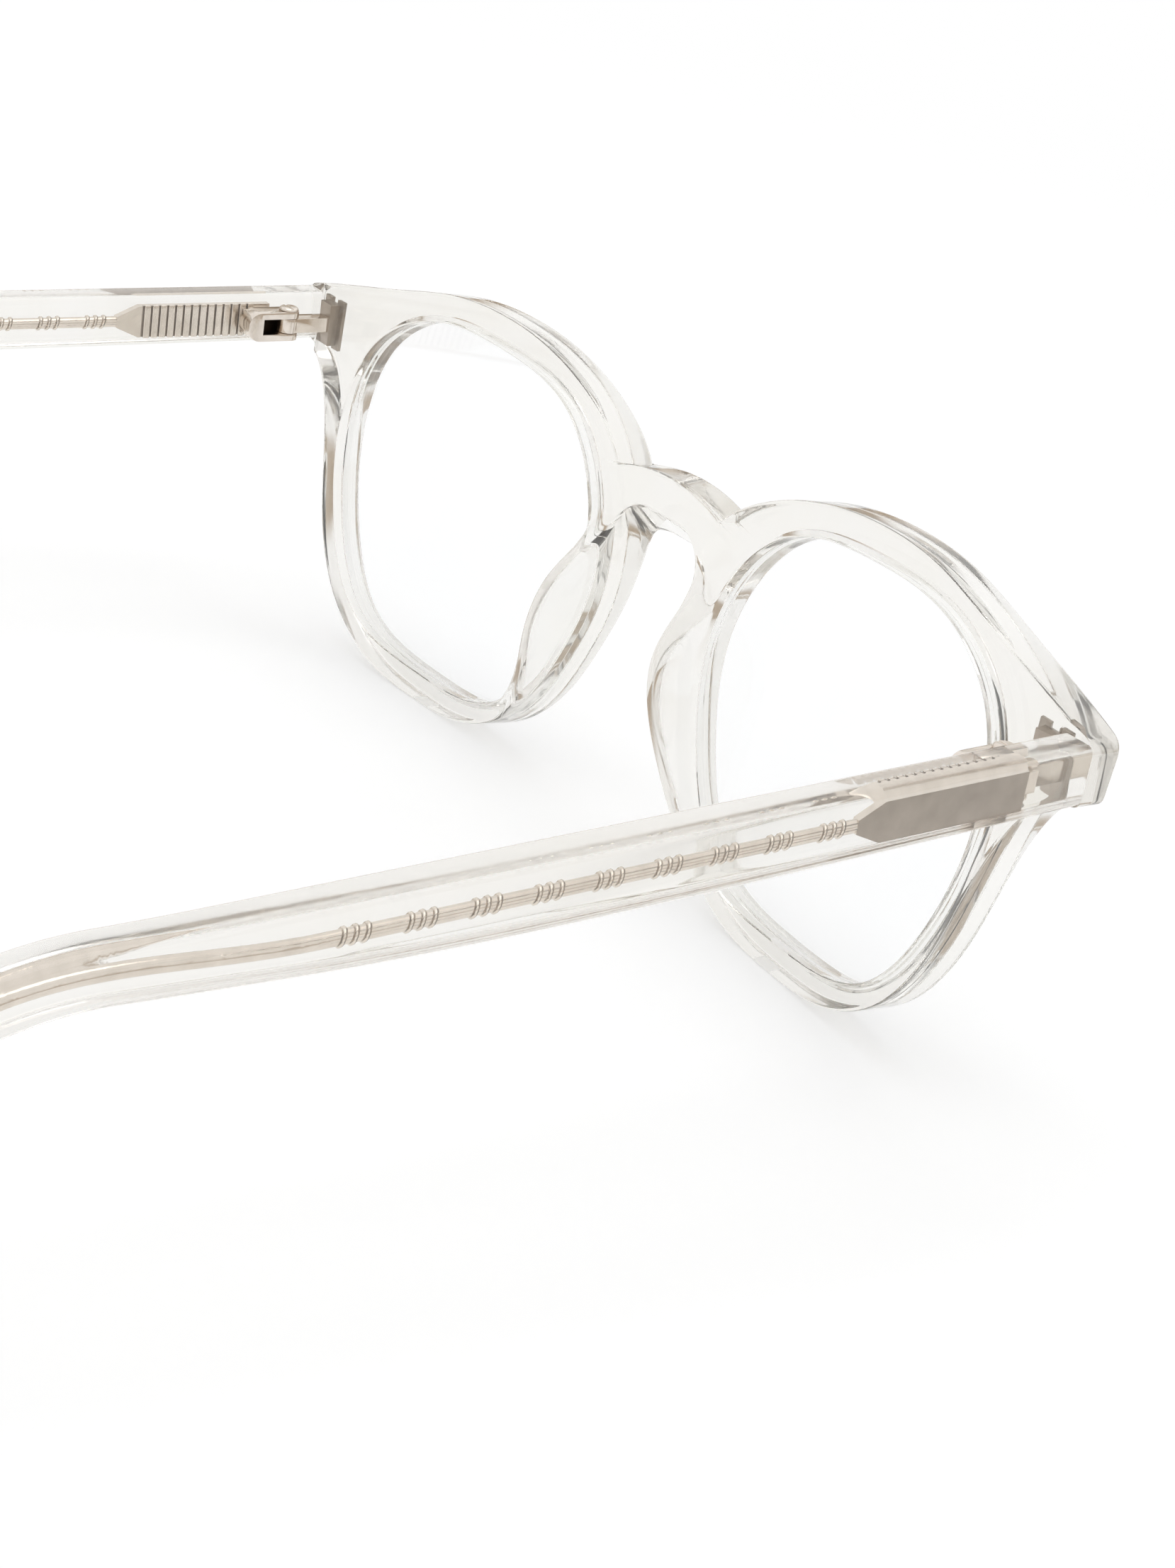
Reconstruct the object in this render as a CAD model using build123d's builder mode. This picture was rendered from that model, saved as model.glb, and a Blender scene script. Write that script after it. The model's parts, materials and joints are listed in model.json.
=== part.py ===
"""Acetate eyeglasses: one front with built-in nose pads, two lenses, and two wire-cored temples.

Millimetres. +X is the wearer's left, +Y runs back along the temples, +Z is up.
The glasses stand open on a table: the rims and the temple tips meet the plane Z = 0,
and the origin is the middle of the footprint.
"""

import os
from math import atan2, cos, degrees, radians, sin, sqrt

from build123d import *

# ---------------------------------------------------------------- lenses and rims
lens_width = 47.9  # boxed width of one opening
lens_height = 41.7  # boxed height of one opening
lens_gap = 22.4  # between the two openings, across the nose
sheet_thickness = 5.2  # acetate sheet that the front is cut from
sheet_radius = 415.0  # wrap of the front, measured on its rear face
rim_top = 3.8
rim_bottom = 3.4
rim_side = 2.4
rim_nose = 3.05
opening_flare = 0.04  # the opening grows this much on every side, per millimetre towards the front
opening_lean = 0.1  # and its middle shifts this much outwards
opening_drop = 0.03  # and this much down

# ---------------------------------------------------------------- bridge
bridge_rise = 1.55  # arch of the bridge over its two notches
bridge_drop = 5.2  # notch below the top of the opening
bridge_notch = 9.2  # notch to the middle of the bridge
bridge_depth = 7.2  # height of the bridge on the front face, at its middle
bridge_lift = 2.8  # the underside rises this much from the front face to the rear face
nose_splay = 1.2  # and its flanks open this much
bridge_arch = 5.5  # half width of the arch over the nose

# ---------------------------------------------------------------- end pieces
end_reach = 11.4  # side of the front beyond the opening
end_top = 3.4  # top corner of the end piece below the top of the opening
end_height = 6.1
end_corner = 1.5  # rounding of the two outer corners

# ---------------------------------------------------------------- lens and groove
lens_thickness = 1.8
lens_setback = 1.4  # rear face of the lens in front of the rear face of the rim
lens_bite = 0.7  # how far the lens edge reaches into the groove
lens_bevel = 0.5
lens_play = 0.05  # between the lens and its groove

# ---------------------------------------------------------------- temples
temple_thickness = 4.0
temple_height = 6.0
temple_neck = 4.7  # height where the ear bend starts
temple_straight = 97.6  # butt joint to ear bend
ear_bend_radius = 30.0  # along the top edge
ear_angle = 40.0
ear_tip_radius = 3.8
ear_curl_radius = 150.0  # the ears curl inwards
ear_curl_start = 84.0  # from the hinge pin
temple_edge = 0.8  # rounding of the long edges
tilt = 6.1  # pantoscopic tilt of the temples below the front's normal
splay = 2.2  # opening of each temple outwards
temple_step = 0.1  # temple below the top corner of the end piece
joint_recess = 0.4  # seat of the temple milled into the end piece
joint_gap = 0.15
ear_thinning = 0.6  # thickness lost over the ear
ear_swing = 0.2  # inward slope of the wire at its end
temple_swell = 0.35  # how far the lower edge waves about a straight line

# ---------------------------------------------------------------- hinge
pin_inset = 1.4  # pin axis to the inner face of the temple
pin_reach = 5.6  # pin axis behind the butt joint
pin_drop = 3.45  # pin centre below the top edge of the temple
barrel_radius = 1.28
barrel_gap = 0.06  # between the knuckle and each ear
hinge_height = 3.6
knuckle_height = 1.8
fork_length = 5.9  # pin axis to the rounded end of the fork
fork_slot = 3.9  # pin axis to the end of the slot
screw_radius = 0.7
screw_play = 0.03
screw_head_radius = 1.2
screw_head_height = 0.4
screw_slot = 0.35
tongue_width = 2.0
anchor_height = 5.2
anchor_width = 2.6
anchor_depth = 1.6
anchor_proud = 0.5  # anchor above the joint face
flange_height = 6.2
flange_width = 4.2
flange_thickness = 0.7
flange_notch = 1.2

# ---------------------------------------------------------------- temple core
core_inset = 1.2  # core plate below the inner face of the temple
core_thickness = 1.3
core_height = 3.8
core_start = 1.6
core_length = 17.4
core_taper = 2.9
wire_radius = 0.65
wire_end = 9.0  # wire stops this far short of the centre of the tip
wire_level = 74.0  # where the wire leaves the pin's height
rib_count = 14
rib_pitch = 1.06
rib_groove = 0.4
rib_depth = 0.3
foot_start = 1.5  # foot of the fork, welded to the core plate
foot_length = 4.0
foot_height = 3.0

# ---------------------------------------------------------------- nose pads
pad_crest = 5.3  # how far the pads stand off the rear face
pad_slope = 0.5  # the nasal side of the crest is this much lower
pad_root = 1.0  # how far the pad's sections start inside the rim

# ================================================================ derived places
half_width = lens_width / 2
half_height = lens_height / 2
lens_x = lens_gap / 2 + half_width
lens_z = rim_bottom + half_height
lens_top = lens_z + half_height
front_side = lens_gap / 2 + lens_width + end_reach
end_z = lens_top - end_top

# axes of the wearer's left temple: along it, along the hinge pin, and outwards
tilt_rad = radians(tilt)
splay_rad = radians(splay)
ear_rad = radians(ear_angle)
long_axis = Vector(sin(splay_rad), cos(splay_rad) * cos(tilt_rad), -cos(splay_rad) * sin(tilt_rad))
pin_axis = Vector(0, sin(tilt_rad), cos(tilt_rad))
out_axis = long_axis.cross(pin_axis)

# side view of the temple: u runs back from the pin, v runs up along the pin
temple_front = joint_gap - pin_reach
temple_top = pin_drop
bend_u = temple_straight - pin_reach
bend_v = temple_top - ear_bend_radius
ear_dir = Vector(cos(ear_rad), -sin(ear_rad))
ear_out = Vector(sin(ear_rad), cos(ear_rad))
ear_start = Vector(bend_u, bend_v) + ear_out * (ear_bend_radius - temple_neck / 2)

# plan view of the temple: w runs outwards from the pin
temple_inner = pin_inset
temple_outer = pin_inset + temple_thickness

# the pin's place behind the front, and the length of the ear that brings its tip to the table
pin_x = front_side - temple_outer + pin_reach * sin(splay_rad)
pin_z = end_z - temple_step - pin_drop * cos(tilt_rad) + pin_reach * long_axis.Z
joint_y = sheet_radius - sqrt(sheet_radius**2 - (front_side - temple_thickness) ** 2) - joint_recess
pin_back = joint_y + pin_reach * long_axis.Y
ear_fall = pin_z + ear_start.X * long_axis.Z + ear_start.Y * pin_axis.Z - ear_tip_radius
ear_length = ear_fall / -(ear_dir.X * long_axis.Z + ear_dir.Y * pin_axis.Z)
ear_tip = ear_start + ear_dir * ear_length
tip_back = pin_back + ear_tip.X * long_axis.Y + ear_tip.Y * pin_axis.Y + ear_tip_radius

# the origin halves the whole depth, so the rear face of the bridge stands at front_y
front_y = (sheet_thickness - tip_back) / 2
pin = Vector(pin_x, front_y + pin_back, pin_z)

side_plane = Plane(origin=pin, x_dir=long_axis, z_dir=out_axis)
plan_plane = Plane(origin=pin, x_dir=long_axis, z_dir=-pin_axis)
cross_plane = Plane(origin=pin, x_dir=out_axis, z_dir=long_axis)
pin_plane = Plane(origin=pin, x_dir=out_axis, z_dir=pin_axis)


def sheet_y(x, depth=0.0):
    """Return y on the surface that lies depth in front of the front's rear face."""
    return front_y + sheet_radius - sqrt((sheet_radius + depth) ** 2 - x**2)


def sheet_plan(near, far, reach):
    """Return the plan of a curved layer of the front, between two depths, as wide as reach."""
    with BuildSketch(Plane.XY) as plan:
        with BuildLine():
            rear = ThreePointArc(*[(x, sheet_y(x, near)) for x in (-reach, 0, reach)])
            fore = ThreePointArc(*[(x, sheet_y(x, far)) for x in (-reach, 0, reach)])
            Line(rear @ 0, fore @ 0)
            Line(rear @ 1, fore @ 1)
        make_face()
    return plan.sketch


def opening_at(y, grow=0.0):
    """Return the outline of the left opening at y, grown by a width on every side."""
    shape = (
        (1.0, 0.2), (0.87, 0.68), (0.5, 0.955), (-0.05, 1.0), (-0.62, 0.87), (-1.0, 0.2),
        (-0.91, -0.38), (-0.55, -0.91), (0.0, -1.0), (0.6, -0.875), (0.9, -0.4),
    )
    ahead = sheet_y(lens_x) - y
    wide = half_width + grow + opening_flare * ahead
    tall = half_height + grow + opening_flare * ahead
    with BuildSketch(Plane.XZ.offset(-y)) as opening:
        with BuildLine():
            Spline(
                [(lens_x + opening_lean * ahead + wide * u, lens_z - opening_drop * ahead + tall * v)
                 for u, v in shape],
                periodic=True,
            )
        make_face()
    return opening.sketch


def opening_solid():
    """Return the tapered plug that fills the left opening through the whole front."""
    with BuildPart() as plug:
        loft([opening_at(front_y - 2 * sheet_thickness).face(), opening_at(sheet_y(front_side)).face()])
    return plug.part


def outline_at(y, share):
    """Return the left half of the front's outline at y; share tells how far the nose side has splayed."""
    arch_top = lens_top - bridge_drop + bridge_rise
    splay_now = nose_splay * share
    lift_now = bridge_lift * share
    vault_top = arch_top - bridge_depth + lift_now
    with BuildSketch(Plane.XZ.offset(-y)) as half:
        with BuildLine():
            arch = TangentArc((0, arch_top), (bridge_notch, lens_top - bridge_drop), tangent=(1, 0))
            brow = Spline(
                arch @ 1,
                (lens_x - 0.836 * half_width, lens_top - 0.19 * rim_top),
                (lens_x - 0.472 * half_width, lens_top + 0.64 * rim_top),
                (lens_x - 0.03 * half_width, lens_top + rim_top),
                (lens_x + 0.367 * half_width, lens_top + 0.86 * rim_top),
                (lens_x + 0.786 * half_width, lens_top + 0.23 * rim_top),
                (front_side, end_z),
                tangents=((0.8, 1), (1, -0.3)),
            )
            side = Line(brow @ 1, (front_side, end_z - end_height))
            rim = Spline(
                side @ 1,
                (front_side - 0.6 * end_height, end_z - 1.22 * end_height),
                (lens_x + half_width + 1.63 * rim_side, lens_z + 0.23 * half_height),
                (lens_x + half_width + 0.96 * rim_side, lens_z),
                (lens_x + 0.966 * half_width, lens_z - 0.515 * half_height),
                (lens_x + 0.753 * half_width, lens_z - 0.889 * half_height),
                (lens_x + 0.41 * half_width, 0.3 * rim_bottom),
                (lens_x + 0.03 * half_width, 0),
                (lens_x - 0.333 * half_width, 0.18 * rim_bottom),
                (lens_x - 0.669 * half_width, lens_z - 0.956 * half_height),
                (lens_x - 0.916 * half_width + 0.15 * splay_now, lens_z - 0.645 * half_height),
                (lens_gap / 2 - 0.5 * rim_nose + 0.45 * splay_now, lens_z - 0.29 * half_height),
                (lens_gap / 2 - 1.19 * rim_nose + 0.6 * splay_now, lens_z),
                (lens_gap / 2 - 1.47 * rim_nose + splay_now, lens_z + 0.227 * half_height + 0.32 * lift_now),
            )
            vault = Spline(
                rim @ 1,
                (bridge_arch + 0.6 * splay_now, vault_top - 0.5 * bridge_rise - 0.25 * lift_now),
                (0.65 * bridge_arch + 0.45 * splay_now, vault_top - 0.1 * bridge_rise),
                (0, vault_top),
                tangents=(rim % 1, (-1, 0)),
            )
            Line(vault @ 1, arch @ 0)
        make_face()
        fillet(half.vertices().group_by(Axis.X)[-1], end_corner)
    return half.sketch


def lens_solid(play):
    """Return the left lens with its bevelled edge, grown by the play of its groove."""
    height = lens_top + rim_top
    with BuildPart() as lens:
        layer = sheet_plan(lens_setback - play, lens_setback + lens_thickness + play, front_side)
        extrude(layer, amount=height)
        extrude(opening_at(front_y, lens_bite + play), amount=lens_width, both=True, mode=Mode.INTERSECT)
        chamfer(lens.edges(), lens_bevel)
    return lens.part


def local(u, v, w):
    """Return the point that lies u along the left temple, v up the pin and w outwards from the pin."""
    return pin + long_axis * u + pin_axis * v + out_axis * w


def curl(u):
    """Return how far the ear has curled inwards at u."""
    return ear_curl_radius - sqrt(ear_curl_radius**2 - max(u - ear_curl_start, 0) ** 2)


def anchor_solid():
    """Return the hinge anchor that is moulded into the left end piece."""
    with BuildPart() as anchor:
        with BuildSketch(cross_plane.offset(anchor_proud - pin_reach)):
            Rectangle(anchor_width, anchor_height)
        extrude(amount=-anchor_depth)
        with BuildSketch(cross_plane.offset(anchor_proud - pin_reach - anchor_depth)):
            Rectangle(flange_width, flange_height)
            with Locations((0, flange_height / 2), (0, -flange_height / 2)):
                Rectangle(flange_notch, flange_notch, mode=Mode.SUBTRACT)
        extrude(amount=-flange_thickness)
    return anchor.part


# ================================================================ temple metal
with BuildPart() as left_hinge_screw:
    with BuildSketch(pin_plane.offset(-hinge_height / 2)):
        Circle(screw_radius)
    extrude(amount=hinge_height)
    with BuildSketch(pin_plane.offset(hinge_height / 2)):
        Circle(screw_head_radius)
    extrude(amount=screw_head_height)
    chamfer(left_hinge_screw.edges().group_by(Axis(pin, pin_axis))[-1], screw_head_height / 2)
    with BuildSketch(pin_plane.offset(hinge_height / 2 + screw_head_height)):
        Rectangle(2 * screw_head_radius, screw_slot)
    extrude(amount=-screw_head_height / 2, mode=Mode.SUBTRACT)

with BuildPart() as left_temple_hinge:
    with BuildSketch(pin_plane):
        Circle(barrel_radius)
        with Locations(((pin_inset - barrel_radius) / 2, fork_length / 2)):
            Rectangle(pin_inset + barrel_radius, fork_length)
    extrude(amount=hinge_height / 2, both=True)
    fillet(left_temple_hinge.edges().filter_by(Axis(pin, out_axis)).group_by(Axis(pin, long_axis))[-1],
           0.45 * hinge_height)
    with BuildSketch(side_plane):
        with Locations((fork_slot / 2 - barrel_radius, 0)):
            Rectangle(fork_slot + 2 * barrel_radius, knuckle_height + 2 * barrel_gap)
    extrude(amount=2 * pin_inset, both=True, mode=Mode.SUBTRACT)
    with BuildSketch(side_plane.offset(pin_inset)):
        with Locations((foot_start + foot_length / 2, 0)):
            Rectangle(foot_length, foot_height)
    extrude(amount=core_inset)
    with BuildSketch(pin_plane):
        Circle(screw_radius)
    extrude(amount=hinge_height, both=True, mode=Mode.SUBTRACT)

core_w = temple_inner + core_inset + core_thickness / 2
core_end = core_start + core_length + core_taper


def bend_point(share, radius):
    """Return the point (u, v) at a share of the ear bend, on a circle about the bend's centre."""
    return Vector(bend_u, bend_v) + Vector(sin(share * ear_rad), cos(share * ear_rad)) * radius


def core_point(place):
    """Return where the wire runs, in space, for a place (u, v) in the temple's side view."""
    return local(place.X, place.Y, core_w - curl(place.X))


with BuildPart() as left_temple_core:
    with BuildSketch(side_plane.offset(temple_inner + core_inset)):
        with Locations((core_start + core_length / 2, 0)):
            Rectangle(core_length, core_height)
    extrude(amount=core_thickness)
    with BuildSketch(side_plane.offset(temple_inner + core_inset)):
        with Locations((core_end - core_taper - rib_count * rib_pitch / 2, 0)):
            with GridLocations(rib_pitch, 0, rib_count, 1):
                Rectangle(rib_groove, core_height)
    extrude(amount=rib_depth, mode=Mode.SUBTRACT)
    with BuildSketch(cross_plane.offset(core_end - core_taper)):
        with Locations((core_w, 0)):
            Rectangle(core_thickness, core_height)
    with BuildSketch(cross_plane.offset(core_end)):
        with Locations((core_w, 0)):
            Rectangle(core_thickness, 2 * wire_radius)
    loft()
    with BuildLine():
        level = Line(core_point(Vector(core_end - core_taper, 0)), core_point(Vector(wire_level, 0)))
        Spline(
            level @ 1,
            *[core_point(bend_point(share, ear_bend_radius - temple_neck / 2)) for share in (0.4, 0.7, 1)],
            *[core_point(ear_start + ear_dir * (ear_length - wire_end) * share) for share in (0.5, 1)],
            tangents=(long_axis, long_axis * ear_dir.X + pin_axis * ear_dir.Y - out_axis * ear_swing),
        )
    with BuildSketch(cross_plane.offset(core_end - core_taper)):
        with Locations((core_w, 0)):
            Circle(wire_radius)
    sweep()

# ================================================================ temples
with BuildPart() as left_temple:
    with BuildSketch(side_plane):
        with BuildLine():
            top = Line((temple_front, temple_top), (bend_u, temple_top))
            bend = TangentArc(top @ 1, bend_point(1, ear_bend_radius), tangent=(1, 0))
            back = Spline(bend @ 1, ear_tip + ear_out * ear_tip_radius, tangents=(ear_dir, ear_dir))
            tip = ThreePointArc(
                back @ 1, ear_tip + ear_dir * ear_tip_radius, ear_tip - ear_out * ear_tip_radius
            )
            throat = Spline(
                tip @ 1, bend_point(1, ear_bend_radius - temple_neck), tangents=(-ear_dir, -ear_dir)
            )
            hook = ThreePointArc(
                throat @ 1,
                bend_point(0.5, ear_bend_radius - temple_neck),
                bend_point(0, ear_bend_radius - temple_neck),
            )
            under = Spline(
                hook @ 1,
                (0.82 * bend_u, temple_top - temple_height + temple_swell),
                (0.49 * bend_u, temple_top - temple_height - temple_swell),
                (temple_front, temple_top - temple_height),
                tangents=((-1, -0.035), (-1, 0.01)),
            )
            Line(under @ 1, top @ 0)
        make_face()
    extrude(amount=4 * temple_thickness, both=True)
    with BuildSketch(plan_plane):
        with BuildLine():
            outer = Line((temple_front, temple_outer), (ear_curl_start, temple_outer))
            reach = ear_tip.X + 2 * ear_tip_radius
            swing = TangentArc(outer @ 1, (reach, temple_outer - curl(reach)), tangent=(1, 0))
            inner = Line((temple_front, temple_inner), (ear_curl_start, temple_inner))
            follow = TangentArc(inner @ 1, (reach, temple_inner + ear_thinning - curl(reach)), tangent=(1, 0))
            Line(outer @ 0, inner @ 0)
            Line(swing @ 1, follow @ 1)
        make_face()
    extrude(amount=temple_straight, both=True, mode=Mode.INTERSECT)
    fillet(
        left_temple.edges().filter_by(
            lambda edge: abs((edge % 0.5).dot(out_axis)) < 0.3
            and abs((edge % 0.5).dot(pin_axis)) < 0.95
            and (edge @ 0.5 - pin).dot(long_axis) > temple_front + joint_gap
        ),
        temple_edge,
    )
    add(left_temple_core.part, mode=Mode.SUBTRACT)
    add(left_temple_hinge.part, mode=Mode.SUBTRACT)

# ================================================================ front
with BuildPart() as front_frame:
    loft(
        [
            outline_at(front_y - sheet_thickness, 0).face(),
            outline_at(front_y, 1).face(),
            outline_at(sheet_y(front_side), 1).face(),
        ],
        ruled=True,
    )
    sheet = sheet_plan(0, sheet_thickness, front_side + 1)
    extrude(sheet, amount=lens_top + 2 * rim_top, mode=Mode.INTERSECT)
    add(opening_solid(), mode=Mode.SUBTRACT)
    add(lens_solid(lens_play), mode=Mode.SUBTRACT)
    with BuildSketch(cross_plane.offset(-pin_reach)):
        with Locations((temple_inner - joint_gap + temple_thickness, 0)):
            Rectangle(2 * temple_thickness, 3 * end_height)
    extrude(amount=3 * pin_reach, mode=Mode.SUBTRACT)
    add(anchor_solid(), mode=Mode.SUBTRACT)
    mirror(about=Plane.YZ)

with BuildPart() as left_lens:
    add(lens_solid(0))

with BuildPart() as left_front_hinge:
    add(anchor_solid())
    with BuildSketch(pin_plane):
        Circle(barrel_radius)
        with Locations((0, (anchor_proud - pin_reach) / 2)):
            Rectangle(tongue_width, pin_reach - anchor_proud)
        Circle(screw_radius + screw_play, mode=Mode.SUBTRACT)
    extrude(amount=knuckle_height / 2, both=True)

# each level: height above the lens centre (shares of half_height), then, outwards from the edge of
# the opening, the nasal foot, the nasal and the lateral side of the crest and the lateral foot
# (shares of rim_nose); last the height of the crest (shares of pad_crest)
pad_levels = (
    (0.25, -1.19, -1.13, -0.72, -0.13, 0.19),
    (0.0, -0.91, -0.72, 0.0, 0.06, 0.95),
    (-0.24, -0.41, -0.31, 0.38, 0.44, 1.0),
    (-0.52, 0.53, 0.63, 0.98, 1.07, 0.62),
    (-0.84, 1.95, 2.04, 2.33, 2.65, 0.12),
)

with BuildPart() as left_nose_pad:
    for rise, nasal_foot, nasal_side, lateral_side, lateral_foot, height in pad_levels:
        with BuildSketch(Plane.XY.offset(lens_z + rise * half_height)):
            with BuildLine():
                foot_y = front_y - pad_root
                crest_y = front_y + height * pad_crest
                bow = Spline(
                    (lens_gap / 2 + nasal_foot * rim_nose, foot_y),
                    (lens_gap / 2 + nasal_side * rim_nose, crest_y - pad_slope),
                    (lens_gap / 2 + lateral_side * rim_nose, crest_y - pad_slope / 4),
                    (lens_gap / 2 + lateral_foot * rim_nose, foot_y),
                )
                Line(bow @ 1, bow @ 0)
            make_face()
    loft()
    extrude(sheet_plan(0, sheet_thickness, front_side), amount=lens_top, mode=Mode.SUBTRACT)
    add(opening_solid(), mode=Mode.SUBTRACT)

# ================================================================ right-hand pieces and export
lefts = {
    "nose_pad": left_nose_pad,
    "lens": left_lens,
    "front_hinge": left_front_hinge,
    "temple": left_temple,
    "temple_core": left_temple_core,
    "temple_hinge": left_temple_hinge,
    "hinge_screw": left_hinge_screw,
}
os.makedirs("parts", exist_ok=True)
front_frame.part.label = "front_frame"
export_step(front_frame.part, "parts/front_frame.step")
for name, left in lefts.items():
    with BuildPart() as right:
        mirror(left.part, about=Plane.YZ)
    left.part.label = f"left_{name}"
    right.part.label = f"right_{name}"
    export_step(left.part, f"parts/left_{name}.step")
    export_step(right.part, f"parts/right_{name}.step")
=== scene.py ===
"""Crystal acetate eyeglasses on a plain pale table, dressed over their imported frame.

Lengths are millimetres until a mesh is made; the scene itself is in metres.
+X is the wearer's left, +Y runs back along the temples and +Z is up.
"""

from __future__ import annotations

import json
import logging
import math
from collections.abc import Callable
from dataclasses import dataclass
from enum import Enum

import bmesh
import bpy
import numpy as np
from mathutils import Matrix, Vector

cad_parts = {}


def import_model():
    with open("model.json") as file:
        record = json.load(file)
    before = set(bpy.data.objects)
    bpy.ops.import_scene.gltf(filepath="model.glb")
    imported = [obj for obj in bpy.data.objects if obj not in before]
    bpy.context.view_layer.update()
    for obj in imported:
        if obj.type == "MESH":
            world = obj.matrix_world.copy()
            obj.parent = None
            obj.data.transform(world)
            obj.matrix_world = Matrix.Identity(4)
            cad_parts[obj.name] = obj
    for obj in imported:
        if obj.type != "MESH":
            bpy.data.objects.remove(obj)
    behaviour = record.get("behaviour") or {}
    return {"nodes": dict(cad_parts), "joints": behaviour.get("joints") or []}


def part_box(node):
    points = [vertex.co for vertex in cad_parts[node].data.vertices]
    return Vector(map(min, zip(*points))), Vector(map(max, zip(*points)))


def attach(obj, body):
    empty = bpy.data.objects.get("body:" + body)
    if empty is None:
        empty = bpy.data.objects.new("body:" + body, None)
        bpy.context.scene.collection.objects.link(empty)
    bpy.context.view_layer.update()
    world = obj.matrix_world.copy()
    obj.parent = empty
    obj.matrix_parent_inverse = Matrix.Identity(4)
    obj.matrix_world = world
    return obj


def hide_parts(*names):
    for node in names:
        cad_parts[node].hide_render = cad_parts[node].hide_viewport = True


MM = 0.001
BLOCK_CORNERS = np.array([(i, j, k) for i in (0, 1) for j in (0, 1) for k in (0, 1)])
BLOCK_FACES = [(0, 1, 3, 2), (4, 6, 7, 5), (0, 4, 5, 1), (2, 3, 7, 6), (0, 2, 6, 4), (1, 5, 7, 3)]
WELD = 0.002  # points closer than this are one
TINY = 1e-6
LEVEL = 0.01  # a face lies at a level when it is this close to it
SPAN_STEPS = 60  # points on each span of a curve before they are spaced evenly
ROUND_LINES = 6  # lines across a rounded edge
BATCH = 2000  # points whose distance to a line is found at once
log = logging.getLogger("eyeglasses")


class Side(Enum):
    """The wearer's side that a piece belongs to; the value is the sign of its x."""

    LEFT = 1
    RIGHT = -1

    @property
    def word(self) -> str:
        """Return the side's name as the frame's nodes use it."""
        return self.name.lower()


# ------------------------------------------------------------------ curves
def looped(line: np.ndarray) -> np.ndarray:
    """Return a line with its first point again at its end."""
    return np.vstack([line, line[:1]])


def travelled(line: np.ndarray) -> np.ndarray:
    """Return how far along a line each of its points lies."""
    return np.concatenate([[0], np.cumsum(np.linalg.norm(np.diff(line, axis=0), axis=1))])


def evenly(line: np.ndarray, count: int, closed: bool = False) -> np.ndarray:
    """Space points evenly along a fine line.

    Args:
        line: The line's points.
        count: How many points are returned.
        closed: True for a loop, which leaves out its repeated end.

    Returns:
        The new points.
    """
    run = travelled(line)
    want = np.linspace(0, run[-1], count, endpoint=not closed)
    return np.stack([np.interp(want, run, line[:, k]) for k in range(line.shape[1])], axis=1)


def spline(knots: list, count: int, closed: bool = False, ends: tuple | None = None) -> np.ndarray:
    """Return points at even spacing on the smooth curve through some knots.

    Args:
        knots: The points that the curve passes through.
        count: How many points are returned.
        closed: True for a loop, whose first knot isn't repeated at its end.
        ends: The directions at the two ends of an open curve, if they are set.

    Returns:
        An array of count points; a loop's last point stands one step before its first.
    """
    at = np.array(knots, float)
    if closed:
        at = looped(at)
    chord = np.linalg.norm(np.diff(at, axis=0), axis=1)
    rise = np.diff(at, axis=0) / chord[:, None]
    size = len(at)
    rule, goal = np.eye(size), np.zeros_like(at)
    for i in range(1, size - 1):
        rule[i, i - 1:i + 2] = chord[i], 2 * (chord[i - 1] + chord[i]), chord[i - 1]
        goal[i] = 3 * (chord[i] * rise[i - 1] + chord[i - 1] * rise[i])
    if closed:
        rule[0, [0, 1, -2]] = 2 * (chord[-1] + chord[0]), chord[-1], chord[0]
        goal[0] = 3 * (chord[0] * rise[-1] + chord[-1] * rise[0])
        rule[-1, [0, -1]] = -1, 1
    elif ends:
        goal[0], goal[-1] = (np.array(e, float) / np.linalg.norm(e) for e in ends)
    else:
        rule[0, :2], goal[0] = (2, 1), 3 * rise[0]
        rule[-1, -2:], goal[-1] = (1, 2), 3 * rise[-1]
    slope = np.linalg.solve(rule, goal)
    share = np.linspace(0, 1, SPAN_STEPS, endpoint=False)[:, None]
    near, far = (1 + 2 * share) * (1 - share) ** 2, share**2 * (3 - 2 * share)
    spans = [
        near * at[i] + far * at[i + 1]
        + chord[i] * share * (1 - share) * ((1 - share) * slope[i] - share * slope[i + 1])
        for i in range(size - 1)
    ]
    return evenly(np.vstack([*spans, at[-1:]]), count, closed)


def rounded_corner(start: np.ndarray, corner: np.ndarray, end: np.ndarray, count: int) -> np.ndarray:
    """Return a smooth turn from start to end that leans on the corner between them."""
    share = np.linspace(0, 1, count)[:, None]
    return (1 - share) ** 2 * start + 2 * share * (1 - share) * corner + share**2 * end


def edge_distance(points: np.ndarray, line: np.ndarray) -> np.ndarray:
    """Return how far each point of the plane lies from an open line of straight steps.

    Args:
        points: Points in an array of any shape, with their two coordinates last.
        line: The points that the line joins.

    Returns:
        The distances, in the shape of the points.
    """
    start, step = line[:-1], np.diff(line, axis=0)
    length = np.maximum((step**2).sum(1), TINY**2)
    flat = points.reshape(-1, 2)
    out = np.empty(len(flat))
    for low in range(0, len(flat), BATCH):
        rel = flat[low:low + BATCH, None] - start
        along = np.clip((rel * step).sum(2) / length, 0, 1)[..., None]
        out[low:low + BATCH] = np.linalg.norm(rel - along * step, axis=2).min(1)
    return out.reshape(points.shape[:-1])


def roundover(distance: np.ndarray, radius: float | np.ndarray) -> np.ndarray:
    """Return how deep a rounded edge has dropped at a distance from the edge."""
    inside = np.clip(radius - distance, 0, radius)
    return radius - np.sqrt(np.maximum(radius**2 - inside**2, 0))


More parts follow.
